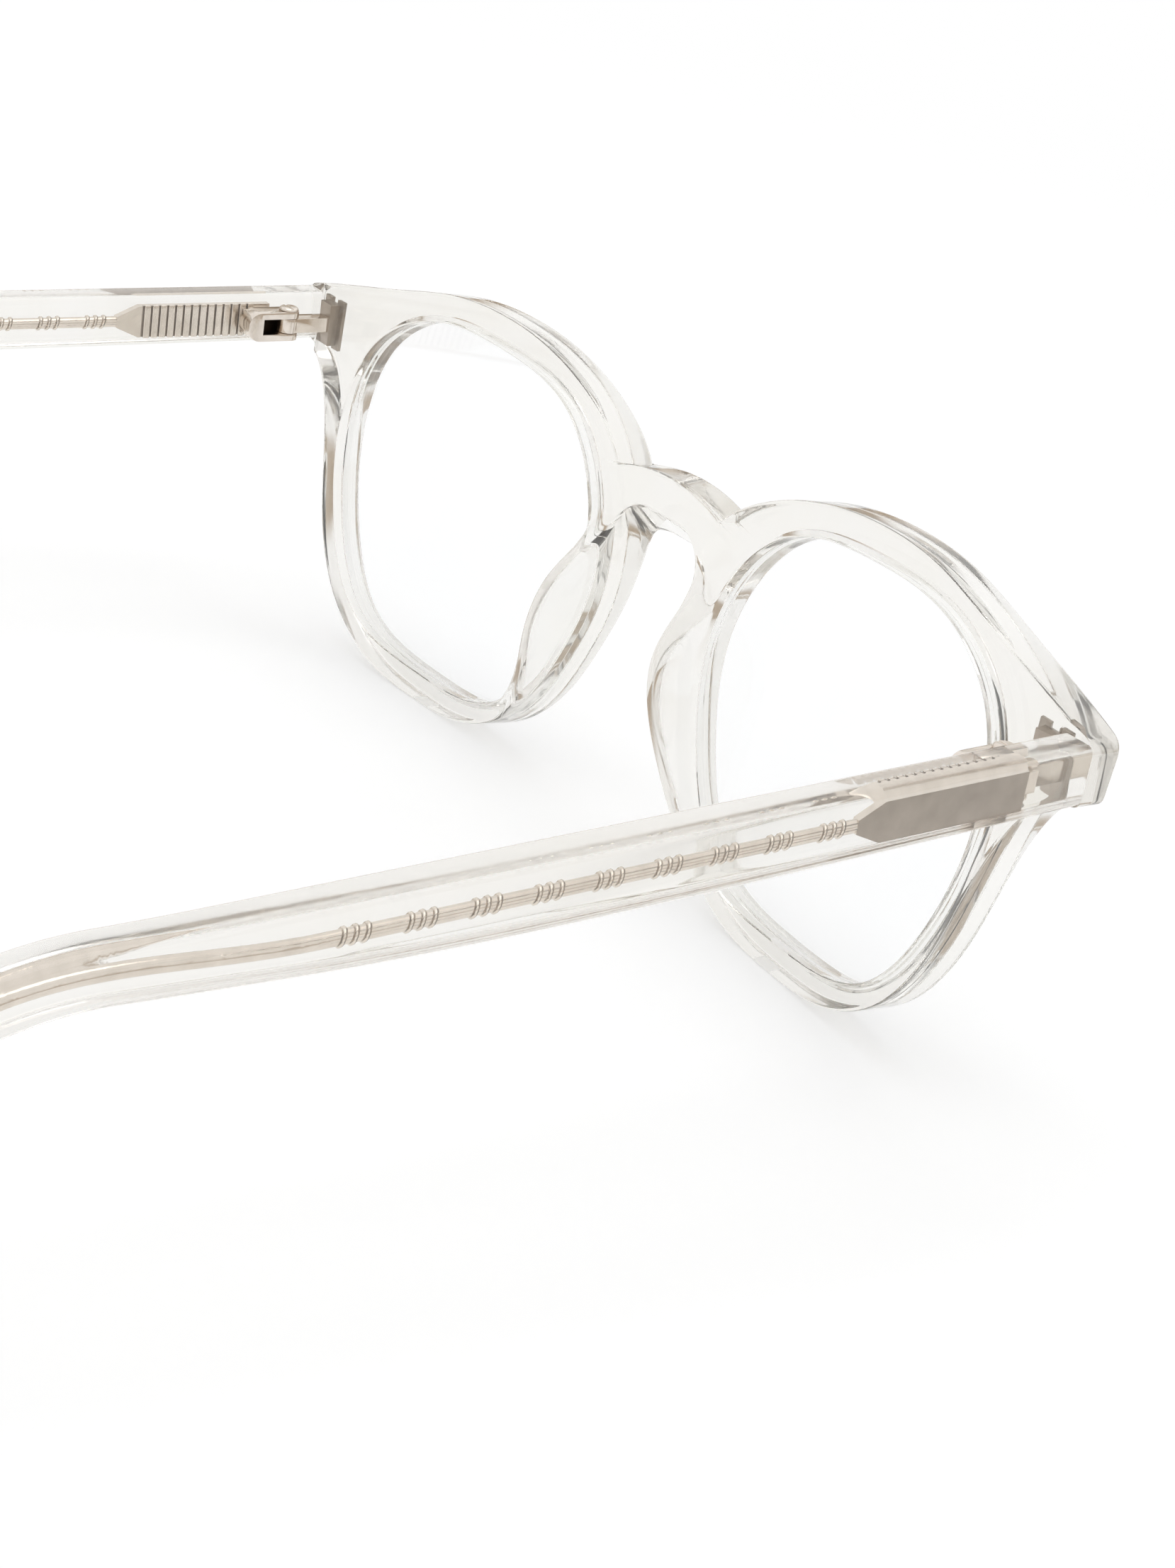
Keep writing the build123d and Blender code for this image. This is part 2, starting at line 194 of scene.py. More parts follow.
def slant(edge: np.ndarray, far: np.ndarray, least: float = 0.2) -> np.ndarray:
    """Return how steeply the lines to some far points leave an edge.

    Args:
        edge: The edge's points, in order.
        far: The point that the line from each of them leads to.
        least: The smallest value that is returned.

    Returns:
        The sine of the angle between edge and line at each point.
    """
    line, along = far - edge, np.gradient(edge, axis=0)
    turn = np.abs(line[:, 0] * along[:, 1] - line[:, 1] * along[:, 0])
    size = np.linalg.norm(line, axis=1) * np.linalg.norm(along, axis=1)
    return np.clip(turn / np.maximum(size, TINY), least, 1)


def edge_steps(width: np.ndarray, first: float | np.ndarray, last: float, middle: int) -> np.ndarray:
    """Return shares across each width that gather at both edges, where these are rounded.

    Args:
        width: The widths that are divided.
        first: Rounding of the edge at share 0, measured along the width.
        last: Rounding of the edge at share 1.
        middle: How many steps the flat part between the roundings has.

    Returns:
        One row of shares for each width.
    """
    most = 0.4
    turn = 1 - np.cos(np.linspace(0, math.pi / 2, ROUND_LINES))
    near = np.minimum(first / width, most)[:, None]
    far = 1 - np.minimum(last / width, most)[:, None]
    flat = near + (far - near) * np.linspace(0, 1, middle + 1)[None, 1:-1]
    return np.hstack([near * turn, flat, 1 - (1 - far) * turn[::-1]])


def smoothstep(value: np.ndarray) -> np.ndarray:
    """Return the soft step that rises from 0 to 1 as the value does."""
    value = np.clip(value, 0, 1)
    return value * value * (3 - 2 * value)


def softened(values: np.ndarray, reach: int, whole: float = 0.0) -> np.ndarray:
    """Return the values of a loop's points, each averaged with its neighbours.

    Args:
        values: One value for each point.
        reach: How many neighbours on each side take part.
        whole: How much the values grow in one round of the loop.

    Returns:
        The averages.
    """
    weight = np.hanning(2 * reach + 1)
    wide = np.concatenate([values[-reach:] - whole, values, values[:reach] + whole])
    return np.convolve(wide, weight / weight.sum(), "valid")


# ------------------------------------------------------------------ meshes
def add_object(name: str, data: bpy.types.ID) -> bpy.types.Object:
    """Add an object to the scene.

    Args:
        name: Its name.
        data: The mesh, the camera or the light that it holds.

    Returns:
        The new object.
    """
    thing = bpy.data.objects.new(name, data)
    bpy.context.scene.collection.objects.link(thing)
    return thing


def tidy_mesh(mesh: bpy.types.Mesh, crease: float) -> None:
    """Weld a mesh's doubles, turn its faces outwards and set its creases.

    Args:
        mesh: The mesh.
        crease: Faces that meet at a larger angle than this, in degrees, meet at a sharp edge.
    """
    work = bmesh.new()
    work.from_mesh(mesh)
    bmesh.ops.delete(work, geom=[v for v in work.verts if not v.link_faces], context="VERTS")
    bmesh.ops.remove_doubles(work, verts=work.verts, dist=WELD * MM)
    bmesh.ops.recalc_face_normals(work, faces=work.faces)
    work.to_mesh(mesh)
    work.free()
    mesh.shade_smooth()
    mesh.set_sharp_from_angle(angle=math.radians(crease))


def new_piece(name: str, verts: np.ndarray, faces: list, crease: float = 38.0) -> bpy.types.Object:
    """Return an object whose mesh has its place in its points, smooth but for its creases.

    Args:
        name: The piece's name.
        verts: Points in millimetres.
        faces: Tuples of point numbers.
        crease: The angle of its sharp edges, in degrees.

    Returns:
        The new object.
    """
    mesh = bpy.data.meshes.new(name)
    mesh.from_pydata((np.asarray(verts) * MM).tolist(), [], faces)
    tidy_mesh(mesh, crease)
    return add_object(name, mesh)


def baked(piece: bpy.types.Object, crease: float | None = None) -> bpy.types.Object:
    """Turn a piece's live modifiers into plain mesh.

    Args:
        piece: The piece.
        crease: The angle of its sharp edges, in degrees, if they are to be set again.

    Returns:
        The same piece.
    """
    mesh = bpy.data.meshes.new_from_object(piece.evaluated_get(bpy.context.evaluated_depsgraph_get()))
    piece.modifiers.clear()
    piece.data = mesh
    if crease is not None:
        tidy_mesh(mesh, crease)
    return piece


def ring_faces(rings: int, across: int, closed: bool = True) -> list:
    """Return the quads between neighbouring rings of points, each ring a closed loop.

    Args:
        rings: How many rings there are.
        across: How many points each ring has.
        closed: True if the last ring joins the first.

    Returns:
        Tuples of point numbers.
    """
    last = rings if closed else rings - 1
    return [
        (i * across + j, (i + 1) % rings * across + j,
         (i + 1) % rings * across + (j + 1) % across, i * across + (j + 1) % across)
        for i in range(last) for j in range(across)
    ]


def block(low: tuple, high: tuple) -> np.ndarray:
    """Return the eight corners of the block between its lowest and its highest corner."""
    return np.array(low) + BLOCK_CORNERS * (np.array(high) - low)


def with_broken_edges(node: bpy.types.Object, name: str, width: float) -> bpy.types.Object:
    """Return a copy of a frame node with its edges broken, as a polished metal part has them.

    Args:
        node: The frame's node.
        name: The copy's name.
        width: Width of the bevels, in millimetres.

    Returns:
        The copy.
    """
    level, sharp, crease = 4, 40, 30
    piece = add_object(name, node.data.copy())
    tidy_mesh(piece.data, 180)
    flat = piece.modifiers.new("flat", "DECIMATE")
    flat.decimate_type, flat.angle_limit = "DISSOLVE", math.radians(level)
    edge = piece.modifiers.new("edge", "BEVEL")
    edge.width, edge.segments, edge.limit_method = width * MM, 2, "ANGLE"
    edge.angle_limit = math.radians(sharp)
    return baked(piece, crease)


def dress(piece: bpy.types.Object, finish: bpy.types.Material, other: bpy.types.Material | None = None,
          chosen: Callable[[Vector], bool] | None = None) -> bpy.types.Object:
    """Give a piece or a frame node its finish, and some of its faces another one.

    Args:
        piece: The piece.
        finish: Its finish.
        other: The finish of the chosen faces, if there are any.
        chosen: Tells from a face's middle whether the face takes the other finish.

    Returns:
        The same piece.
    """
    piece.data.materials.clear()
    piece.data.materials.append(finish)
    if other:
        piece.data.materials.append(other)
    for face in piece.data.polygons:
        face.material_index = int(other is not None and chosen(face.center))
    return piece


# ------------------------------------------------------------------ shader helpers
def linear(code: str) -> tuple:
    """Return the linear colour, with alpha 1, of an sRGB hex code."""
    parts = (int(code[i:i + 2], 16) / 255 for i in (1, 3, 5))
    return (*(c / 12.92 if c <= 0.04045 else ((c + 0.055) / 1.055) ** 2.4 for c in parts), 1.0)


def add_node(tree: bpy.types.NodeTree, kind: str, values: dict | None = None,
             **settings: object) -> bpy.types.Node:
    """Add a node, set its properties and fill or link its inputs.

    Args:
        tree: The tree that gets the node.
        kind: The node's type name.
        values: Plain values or output sockets, by input name or number.
        settings: Properties of the node itself.

    Returns:
        The new node.
    """
    node = tree.nodes.new(kind)
    for key, value in settings.items():
        setattr(node, key, value)
    for key, value in (values or {}).items():
        if isinstance(value, bpy.types.NodeSocket):
            tree.links.new(value, node.inputs[key])
        else:
            node.inputs[key].default_value = value
    return node


def new_material(name: str) -> tuple:
    """Return a new material with no nodes.

    Args:
        name: Its name.

    Returns:
        The material and its tree.
    """
    material = bpy.data.materials.new(name)
    material.use_nodes = True
    material.node_tree.nodes.clear()
    return material, material.node_tree


def noise(tree: bpy.types.NodeTree, place: bpy.types.NodeSocket, size: float,
          detail: float = 2.0) -> bpy.types.NodeSocket:
    """Return a soft noise whose patches are as large as the size, in metres."""
    return add_node(tree, "ShaderNodeTexNoise",
                    {"Vector": place, "Scale": 1 / size, "Detail": detail}).outputs[0]


def blended(tree: bpy.types.NodeTree, share: bpy.types.NodeSocket, first: tuple,
            second: tuple) -> bpy.types.NodeSocket:
    """Return the colour that goes from the first to the second as the share does from 0 to 1."""
    return add_node(tree, "ShaderNodeMix", {"Factor": share, "A": first, "B": second},
                    data_type="RGBA").outputs["Result"]


def mottled(tree: bpy.types.NodeTree, size: float, colours: tuple, detail: float = 2.0) -> tuple:
    """Add patches that waver between two colours.

    Args:
        tree: The material's tree.
        size: The patches' size, in metres.
        colours: The two colours, as hex codes.
        detail: The noise's detail.

    Returns:
        The sockets of the place on the object, of the noise and of the colour.
    """
    place = add_node(tree, "ShaderNodeTexCoord").outputs["Object"]
    patch = noise(tree, place, size, detail)
    return place, patch, blended(tree, patch, *(linear(code) for code in colours))


def between(tree: bpy.types.NodeTree, share: bpy.types.NodeSocket, low: float,
            high: float) -> bpy.types.NodeSocket:
    """Return the value that goes from low to high as the share does from 0 to 1."""
    return add_node(tree, "ShaderNodeMapRange", {"Value": share, "To Min": low, "To Max": high}).outputs[0]


def rippled(tree: bpy.types.NodeTree, height: bpy.types.NodeSocket, depth: float,
            strength: float) -> bpy.types.NodeSocket:
    """Return the surface's direction when it rises and falls by a depth, in millimetres."""
    return add_node(tree, "ShaderNodeBump",
                    {"Height": height, "Strength": strength, "Distance": depth * MM}).outputs[0]


def maths(tree: bpy.types.NodeTree, operation: str, first: bpy.types.NodeSocket,
          second: bpy.types.NodeSocket | float, clamp: bool = False) -> bpy.types.NodeSocket:
    """Return the result of one operation on two values."""
    return add_node(tree, "ShaderNodeMath", {0: first, 1: second},
                    operation=operation, use_clamp=clamp).outputs[0]


# ------------------------------------------------------------------ finishes
@dataclass(frozen=True)
class CrystalAcetate:
    """Cut and tumble-polished cellulose acetate sheet, clear with a trace of champagne."""

    colours: tuple = ("#FFFFFF", "#FCFBF6")
    depth: str = "#C6B9A0"  # the colour that long paths inside the sheet take
    shade: str = "#BDB9B3"  # what each wall lets through to the things in its shadow
    density: float = 20.0  # per metre: a face is pale, an edge seen along its length is warm
    clearness: float = 0.94  # the rest is a faint milkiness that lights the darkest folds
    smoothest: float = 0.03
    roughest: float = 0.065
    cloud_size: float = 9.0
    ripple_size: float = 3.5  # tumbling leaves the faces very slightly wavy
    ripple: float = 0.006
    ripple_strength: float = 0.25
    ior: float = 1.42

    def build(self) -> bpy.types.Material:
        """Make the acetate, which lets light pass on its way to a lamp.

        Returns:
            The material.
        """
        material, tree = new_material("polished_crystal_acetate")
        place, cloud, colour = mottled(tree, self.cloud_size * MM, self.colours)
        wave = noise(tree, place, self.ripple_size * MM, 1.0)
        skin = add_node(tree, "ShaderNodeBsdfPrincipled", {
            "Base Color": colour, "Roughness": between(tree, cloud, self.smoothest, self.roughest),
            "IOR": self.ior, "Transmission Weight": self.clearness,
            "Normal": rippled(tree, wave, self.ripple, self.ripple_strength),
        })
        inside = add_node(tree, "ShaderNodeVolumeAbsorption",
                          {"Color": linear(self.depth), "Density": self.density})
        passing = add_node(tree, "ShaderNodeBsdfTransparent", {"Color": linear(self.shade)})
        to_lamp = add_node(tree, "ShaderNodeLightPath").outputs["Is Shadow Ray"]
        whole = add_node(tree, "ShaderNodeMixShader", {0: to_lamp, 1: skin.outputs[0], 2: passing.outputs[0]})
        add_node(tree, "ShaderNodeOutputMaterial",
                 {"Surface": whole.outputs[0], "Volume": inside.outputs[0]})
        return material


@dataclass(frozen=True)
class ClearLens:
    """Cast acrylic demonstration lens: clear, with a coating that hardly shows."""

    colours: tuple = ("#FFFFFF", "#FBFCFD")
    haze_size: float = 14.0
    roughest: float = 0.01
    ior: float = 1.49

    def build(self) -> bpy.types.Material:
        """Make the clear plastic of the lenses.

        Returns:
            The material.
        """
        material, tree = new_material("clear_cast_lens")
        _, haze, colour = mottled(tree, self.haze_size * MM, self.colours, 1.0)
        skin = add_node(tree, "ShaderNodeBsdfPrincipled", {
            "Base Color": colour, "Roughness": between(tree, haze, 0.0, self.roughest), "IOR": self.ior,
            "Transmission Weight": 1.0,
        })
        add_node(tree, "ShaderNodeOutputMaterial", {"Surface": skin.outputs[0]})
        return material


@dataclass(frozen=True)
class NickelSilver:
    """Nickel silver: a pale warm metal whose patches differ a little in colour and sheen."""

    name: str = "polished_nickel_silver"
    colours: tuple = ("#F0E8DF", "#D3C9BE")
    smoothest: float = 0.1
    roughest: float = 0.24
    patch_size: float = 1.6
    grain_size: float = 0.25  # barrelling marks, drawn coarse enough to show
    grain: float = 0.006
    grain_strength: float = 0.4

    def build(self) -> bpy.types.Material:
        """Make the metal in this finish.

        Returns:
            The material.
        """
        material, tree = new_material(self.name)
        place, patch, colour = mottled(tree, self.patch_size * MM, self.colours, 3.0)
        grain = noise(tree, place, self.grain_size * MM)
        skin = add_node(tree, "ShaderNodeBsdfPrincipled", {
            "Base Color": colour, "Roughness": between(tree, patch, self.smoothest, self.roughest),
            "Metallic": 1.0, "Normal": rippled(tree, grain, self.grain, self.grain_strength),
        })
        add_node(tree, "ShaderNodeOutputMaterial", {"Surface": skin.outputs[0]})
        return material


# Polished leaves and wire are bright. Faces left as stamped are duller, and their greyer colour is painted
# shade on the plate's outer face, its grooves and the anchors; the bottom of a slot is painted shade, nearly
# black.
POLISHED = NickelSilver()
# duller, and greyer as a painted shade
STAMPED_AND_SHADED = NickelSilver("stamped_nickel_silver", ("#BDB3A8", "#A0958A"), 0.28, 0.42, grain=0.015)
# the slot's bottom: painted shade, nearly black
SLOT_SHADE = NickelSilver("oxidised_nickel_silver", ("#3B322B", "#1E1814"), 0.4, 0.6)


# ------------------------------------------------------------------ the front
@dataclass(frozen=True)
class FrontLines:
    """How finely the front is divided, and how far its lines are evened out."""

    arch: int = 18
    brow: int = 110
    corner: int = 9
    side: int = 8
    rim: int = 190
    vault: int = 22
    middle: int = 8
    opening: int = 2400
    face: int = 12
    back: int = 22
    edge: int = 9
    even_places: int = 9
    even_pads: int = 10
    brow_start: int = 16  # points of the brow that still take part in the steps round the bridge
    bridge_steps: tuple = (0.0, 0.63, 0.66, 0.69, 1.0)


@dataclass
class Front:
    """The front: two rims, bridge, end pieces and the built-in nose pads, cut from one sheet."""

    lens_width: float = 47.9
    lens_height: float = 41.7
    lens_gap: float = 22.4
    thickness: float = 5.2
    wrap: float = 415.0
    rim_top: float = 3.8
    rim_bottom: float = 3.4
    rim_side: float = 2.4
    rim_nose: float = 3.05
    flare: float = 0.04
    lean: float = 0.1
    drop: float = 0.03
    bridge_rise: float = 1.55
    bridge_drop: float = 5.2
    bridge_notch: float = 9.2
    bridge_depth: float = 7.2
    bridge_lift: float = 2.8
    nose_splay: float = 1.2
    bridge_arch: float = 5.5
    end_reach: float = 11.4
    end_top: float = 3.4
    end_height: float = 6.1
    end_draft: float = 0.5
    end_corner: float = 1.5
    groove_setback: float = 1.35
    groove_width: float = 1.9
    groove_depth: float = 0.75
    groove_bevel: float = 0.5
    groove_step: float = 0.01
    wall_start: float = 0.3  # beyond the rounded edges of the opening
    outer_front_edge: float = 0.6
    inner_front_edge: float = 0.4
    outer_rear_edge: float = 0.4
    inner_rear_edge: float = 0.3
    crease: float = 40.0
    pad_height: float = 5.5
    pad_lean: float = 0.18  # the crest of a pad leans away from the nose by this share of its height
    pad_full: float = 1.5  # where a pad is this high, it takes up the rim's whole width
    lines: FrontLines = FrontLines()
    shape: tuple = (
        (1.0, 0.2), (0.87, 0.68), (0.5, 0.955), (-0.05, 1.0), (-0.62, 0.87), (-1.0, 0.2),
        (-0.91, -0.38), (-0.55, -0.91), (0.0, -1.0), (0.6, -0.875), (0.9, -0.4),
    )
    # how high the crest of a pad stands (share of pad_height), by height on the rim (share of half
    # the lens height above the middle of the lens)
    pad_rise: tuple = (
        (0.44, 0.0), (0.34, 0.18), (0.23, 0.54), (0.11, 0.88), (-0.02, 1.0), (-0.16, 1.0), (-0.3, 0.91),
        (-0.44, 0.73), (-0.59, 0.52), (-0.73, 0.35), (-0.85, 0.16), (-0.97, 0.0),
    )

    def __post_init__(self) -> None:
        """Work out the places that follow from the sizes and the frame."""
        self.half_width, self.half_height = self.lens_width / 2, self.lens_height / 2
        self.lens_x = self.lens_gap / 2 + self.half_width
        self.lens_z = self.rim_bottom + self.half_height
        self.lens_top = self.lens_z + self.half_height
        self.side_x = self.lens_gap / 2 + self.lens_width + self.end_reach
        self.end_z = self.lens_top - self.end_top
        self.rear_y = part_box("front_frame")[0].y / MM + self.thickness

    def sheet_y(self, x: np.ndarray | float, depth: np.ndarray | float = 0.0) -> np.ndarray:
        """Return y on the curved layer that lies depth in front of the rear face."""
        return self.rear_y + self.wrap - np.sqrt((self.wrap + depth) ** 2 - np.square(x))

    def opening(self, shares: np.ndarray, y: np.ndarray | float, grow: float = 0.0) -> np.ndarray:
        """Return points of the left opening, which widens and shifts towards the front.

        Args:
            shares: Places on it, as shares of its half width and half height.
            y: Where it is cut.
            grow: How much it is grown on every side.

        Returns:
            Points (x, z).
        """
        ahead = self.sheet_y(self.lens_x) - y
        wide = self.half_width + grow + self.flare * ahead
        tall = self.half_height + grow + self.flare * ahead
        return np.stack([self.lens_x + self.lean * ahead + wide * shares[..., 0],
                         self.lens_z - self.drop * ahead + tall * shares[..., 1]], axis=-1)

    def opening_on(self, shares: np.ndarray, depth: float, grow: float = 0.0) -> np.ndarray:
        """Return points of the left opening on one layer of the curved sheet.

        Args:
            shares: Places on it, as shares of its half width and half height.
            depth: How far the layer lies in front of the rear face.
            grow: How much the opening is grown on every side.

        Returns:
            Points (x, y, z).
        """
        y = self.sheet_y(self.lens_x + self.half_width * shares[..., 0], depth)
        for _ in range(3):
            flat = self.opening(shares, y, grow)
            y = self.sheet_y(flat[..., 0], depth)
        return np.stack([flat[..., 0], y, flat[..., 1]], axis=-1)

    def outline(self, share: float) -> list:
        """Return the left half of the outline as its eight runs, from the top of the bridge round to it.

        Args:
            share: How far the nose side has splayed: 0 on the front face, 1 on the rear face.

        Returns:
            Runs of points (x, z): arch, brow, upper corner, side, lower corner, rim, vault, middle.
        """
        x, z, hw, hh = self.lens_x, self.lens_z, self.half_width, self.half_height
        top, rt, rb, rs, rn = self.lens_top, self.rim_top, self.rim_bottom, self.rim_side, self.rim_nose
        lines = self.lines
        nose = self.lens_gap / 2
        splay, lift = self.nose_splay * share, self.bridge_lift * share
        arch_top = top - self.bridge_drop + self.bridge_rise
        vault_top = arch_top - self.bridge_depth + lift
        radius = (self.bridge_notch**2 + self.bridge_rise**2) / (2 * self.bridge_rise)
        turn = np.linspace(0, math.asin(self.bridge_notch / radius), lines.arch)
        arch = np.stack([radius * np.sin(turn), arch_top - radius * (1 - np.cos(turn))], axis=1)
        side_x = self.side_x - self.end_draft * (1 - share)
        upper = np.array([side_x, self.end_z])
        lower = np.array([side_x, self.end_z - self.end_height])
        brow_end = np.array([1, -0.3]) / math.hypot(1, 0.3)
        brow = spline([
            arch[-1],
            (x - 0.836 * hw, top - 0.19 * rt),
            (x - 0.472 * hw, top + 0.64 * rt),
            (x - 0.03 * hw, top + rt),
            (x + 0.367 * hw, top + 0.86 * rt),
            (x + 0.786 * hw, top + 0.23 * rt),
            upper - brow_end * self.end_corner,
        ], lines.brow, ends=((0.8, 1), brow_end))
        down = np.array([0, -1])
        rim_knots = [
            (self.side_x - 0.6 * self.end_height, self.end_z - 1.22 * self.end_height),
            (x + hw + 1.63 * rs, z + 0.23 * hh),
            (x + hw + 0.96 * rs, z),
            (x + 0.966 * hw, z - 0.515 * hh),
            (x + 0.753 * hw, z - 0.889 * hh),
            (x + 0.41 * hw, 0.3 * rb),
            (x + 0.03 * hw, 0),
            (x - 0.333 * hw, 0.18 * rb),
            (x - 0.669 * hw, z - 0.956 * hh),
            (x - 0.916 * hw + 0.15 * splay, z - 0.645 * hh),
            (nose - 0.5 * rn + 0.45 * splay, z - 0.29 * hh),
            (nose - 1.19 * rn + 0.6 * splay, z),
            (nose - 1.47 * rn + splay, z + 0.227 * hh + 0.32 * lift),
        ]
        lean = rim_knots[0] - lower
        lean /= np.linalg.norm(lean)
        rim = spline([lower + lean * self.end_corner / 2, *rim_knots], lines.rim)
        vault = spline([
            rim[-1],
            (self.bridge_arch + 0.6 * splay, vault_top - 0.5 * self.bridge_rise - 0.25 * lift),
            (0.65 * self.bridge_arch + 0.45 * splay, vault_top - 0.1 * self.bridge_rise),
            (0, vault_top),
        ], lines.vault, ends=(rim[-1] - rim[-2], (-1, 0)))
        climb = edge_steps(np.array([arch_top - vault_top]), self.outer_front_edge,
                           self.outer_front_edge, lines.middle)[0]
        middle = np.stack([0 * climb, vault_top + (arch_top - vault_top) * climb], axis=1)
        side = np.linspace(upper + down * self.end_corner, lower - down * self.end_corner / 2, lines.side)
        return [
            arch, brow[1:], rounded_corner(brow[-1], upper, side[0], lines.corner)[1:], side[1:],
            rounded_corner(side[-1], lower, rim[0], lines.corner)[1:], rim[1:], vault[1:], middle[1:-1],
        ]

    def stations(self, outer: np.ndarray, runs: list) -> np.ndarray:
        """Return the shares of the opening that lie opposite each point of the outline.

        Round the bridge they follow set steps, since the nearest places of the opening would there
        lie across the hollows above and under the bridge.

        Args:
            outer: The points of the outline.
            runs: How many points each of the outline's runs has.

        Returns:
            Shares of the opening's half width and half height, one pair for each point.
        """
        lines = self.lines
        fine = spline(list(self.shape), lines.opening, closed=True)
        flat = self.opening(fine, self.rear_y - self.thickness / 2)
        near = np.array([np.argmin(((flat - p) ** 2).sum(1)) for p in outer], float)
        turns = np.unwrap(near * (2 * math.pi / len(fine))) * (len(fine) / (2 * math.pi))
        whole = round((turns[-1] - turns[0]) / len(fine)) * len(fine)
        count, brow = len(outer), runs[0] + lines.brow_start
        under = count - runs[-1] - runs[-2] - 1
        steps = np.interp(np.arange(under, count + brow),
                          (under, count - runs[-1], count, count + runs[0], count + brow), lines.bridge_steps)
        led = turns[under] + (turns[brow] + whole - turns[under]) * steps
        turns[under:], turns[:brow] = led[:count - under], led[count - under:] - whole
        for _ in range(2):
            turns = softened(turns, lines.even_places, whole)
        loop = looped(fine)
        at = np.mod(turns, len(fine))
        return np.stack([np.interp(at, np.arange(len(loop)), loop[:, k]) for k in (0, 1)], axis=1)

    def face(self, fore: np.ndarray, shares: np.ndarray, free: int) -> np.ndarray:
        """Return the rows of points across the front face, from the outline to the opening.

        Args:
            fore: The outline's points on the front face.
            shares: The places on the opening opposite them.
            free: How many of them lie on the outer edge.

        Returns:
            One row of points (x, y, z) for each point of the outline.
        """
        hole = self.opening_on(shares, self.thickness)[:, ::2]
        width = np.linalg.norm(fore - hole, axis=1)
        first = self.outer_front_edge / slant(fore, hole)
        share = edge_steps(width, first, self.inner_front_edge, self.lines.face)[..., None]
        flat = fore[:, None] * (1 - share) + hole[:, None] * share
        sink = (roundover(edge_distance(flat, fore[:free]), self.outer_front_edge)
                + roundover(edge_distance(flat, looped(hole)), self.inner_front_edge))
        y = self.sheet_y(flat[..., 0], self.thickness) + sink
        return np.stack([flat[..., 0], y, flat[..., 1]], axis=-1)

    def wall(self, shares: np.ndarray) -> np.ndarray:
        """Return the rows of points down the opening's wall and round the lens groove.

        Args:
            shares: Places on the opening.

        Returns:
            One row of points (x, y, z) for each place, from front to rear.
        """
        bite, shallow, step = self.groove_depth, self.groove_depth - self.groove_bevel, self.groove_step
        fore, rear = self.groove_setback + self.groove_width, self.groove_setback
        return np.stack([self.opening_on(shares, depth, grow) for depth, grow in (
            (self.thickness - self.inner_front_edge - self.wall_start, 0), (fore, 0), (fore - step, shallow),
            (fore - self.groove_bevel, bite), (rear + self.groove_bevel, bite), (rear + step, shallow),
            (rear, 0), (self.inner_rear_edge + self.wall_start, 0),
        )], axis=1)

    def pad(self, rear: np.ndarray, rim_start: int) -> np.ndarray:
        """Return how high the pad's crest stands opposite each point of the rear outline.

        Args:
            rear: The outline's points on the rear face.
            rim_start: The number of the rim's first point.

        Returns:
            The heights, 0 where there is no pad.
        """
        level, height = zip(*sorted(self.pad_rise))
        crest = self.pad_height * np.interp((rear[:, 1] - self.lens_z) / self.half_height, level, height)
        crest *= (rear[:, 0] < self.lens_x) & (np.arange(len(rear)) > rim_start)
        return softened(crest, self.lines.even_pads)

    def back(self, rear: np.ndarray, shares: np.ndarray, free: int, rim_start: int) -> np.ndarray:
        """Return the rows of points across the rear face and the pad, from the outline to the opening.

        Args:
            rear: The outline's points on the rear face.
            shares: The places on the opening opposite them.
            free: How many of them lie on the outer edge.
            rim_start: The number of the rim's first point.

        Returns:
            One row of points (x, y, z) for each point of the outline.
        """
        hole = self.opening_on(shares, 0)[:, ::2]
        crest = self.pad(rear, rim_start)[:, None]
        width = np.linalg.norm(rear - hole, axis=1)
        first = self.outer_rear_edge / slant(rear, hole)
        share = edge_steps(width, first, self.inner_rear_edge, self.lines.back)
        full = smoothstep(crest / self.pad_full)
        dome = 3 * share**2 * (1 - share) + share**3
        place = (share * (1 - full) + dome * full)[..., None]
        flat = rear[:, None] * (1 - place) + hole[:, None] * place
        sink = (roundover(edge_distance(flat, rear[:free]), self.outer_rear_edge * (1 - full) + TINY)
                + roundover(edge_distance(flat, looped(hole)), self.inner_rear_edge))
        lift = crest * (1 - np.abs(2 * share - 1) ** 3)
        return np.stack([flat[..., 0] + self.pad_lean * lift,
                         self.sheet_y(flat[..., 0]) - sink + lift, flat[..., 1]], axis=-1)

    def half(self) -> tuple:
        """Make the left half of the skin, open where it meets the right half.

        Returns:
            Its points (x, y, z) and its faces.
        """
        fore_runs, rear_runs = self.outline(0), self.outline(1)
        fore, rear = np.vstack(fore_runs), np.vstack(rear_runs)
        sizes = [len(run) for run in fore_runs]
        free = sum(sizes[:-1])  # the last run is the cut through the bridge
        rim_start = sum(sizes[:5])
        shares = self.stations((fore + rear) / 2, sizes)
        face, wall = self.face(fore, shares, free), self.wall(shares)
        back = self.back(rear, shares, free, rim_start)
        step = np.linspace(0, 1, self.lines.edge)[1:-1, None]
        side = back[:, :1] * (1 - step) + face[:, :1] * step
        loop = np.concatenate([face, wall, back[:, ::-1], side], axis=1)
        across = loop.shape[1]
        open_from = across - side.shape[1] - 1
        middle = np.abs(fore[:, 0]) < TINY
        kept = [
            f for f in ring_faces(len(fore), across)
            if f[0] % across < open_from or not (middle[f[0] // across] and middle[f[1] // across])
        ]
        return loop.reshape(-1, 3), kept

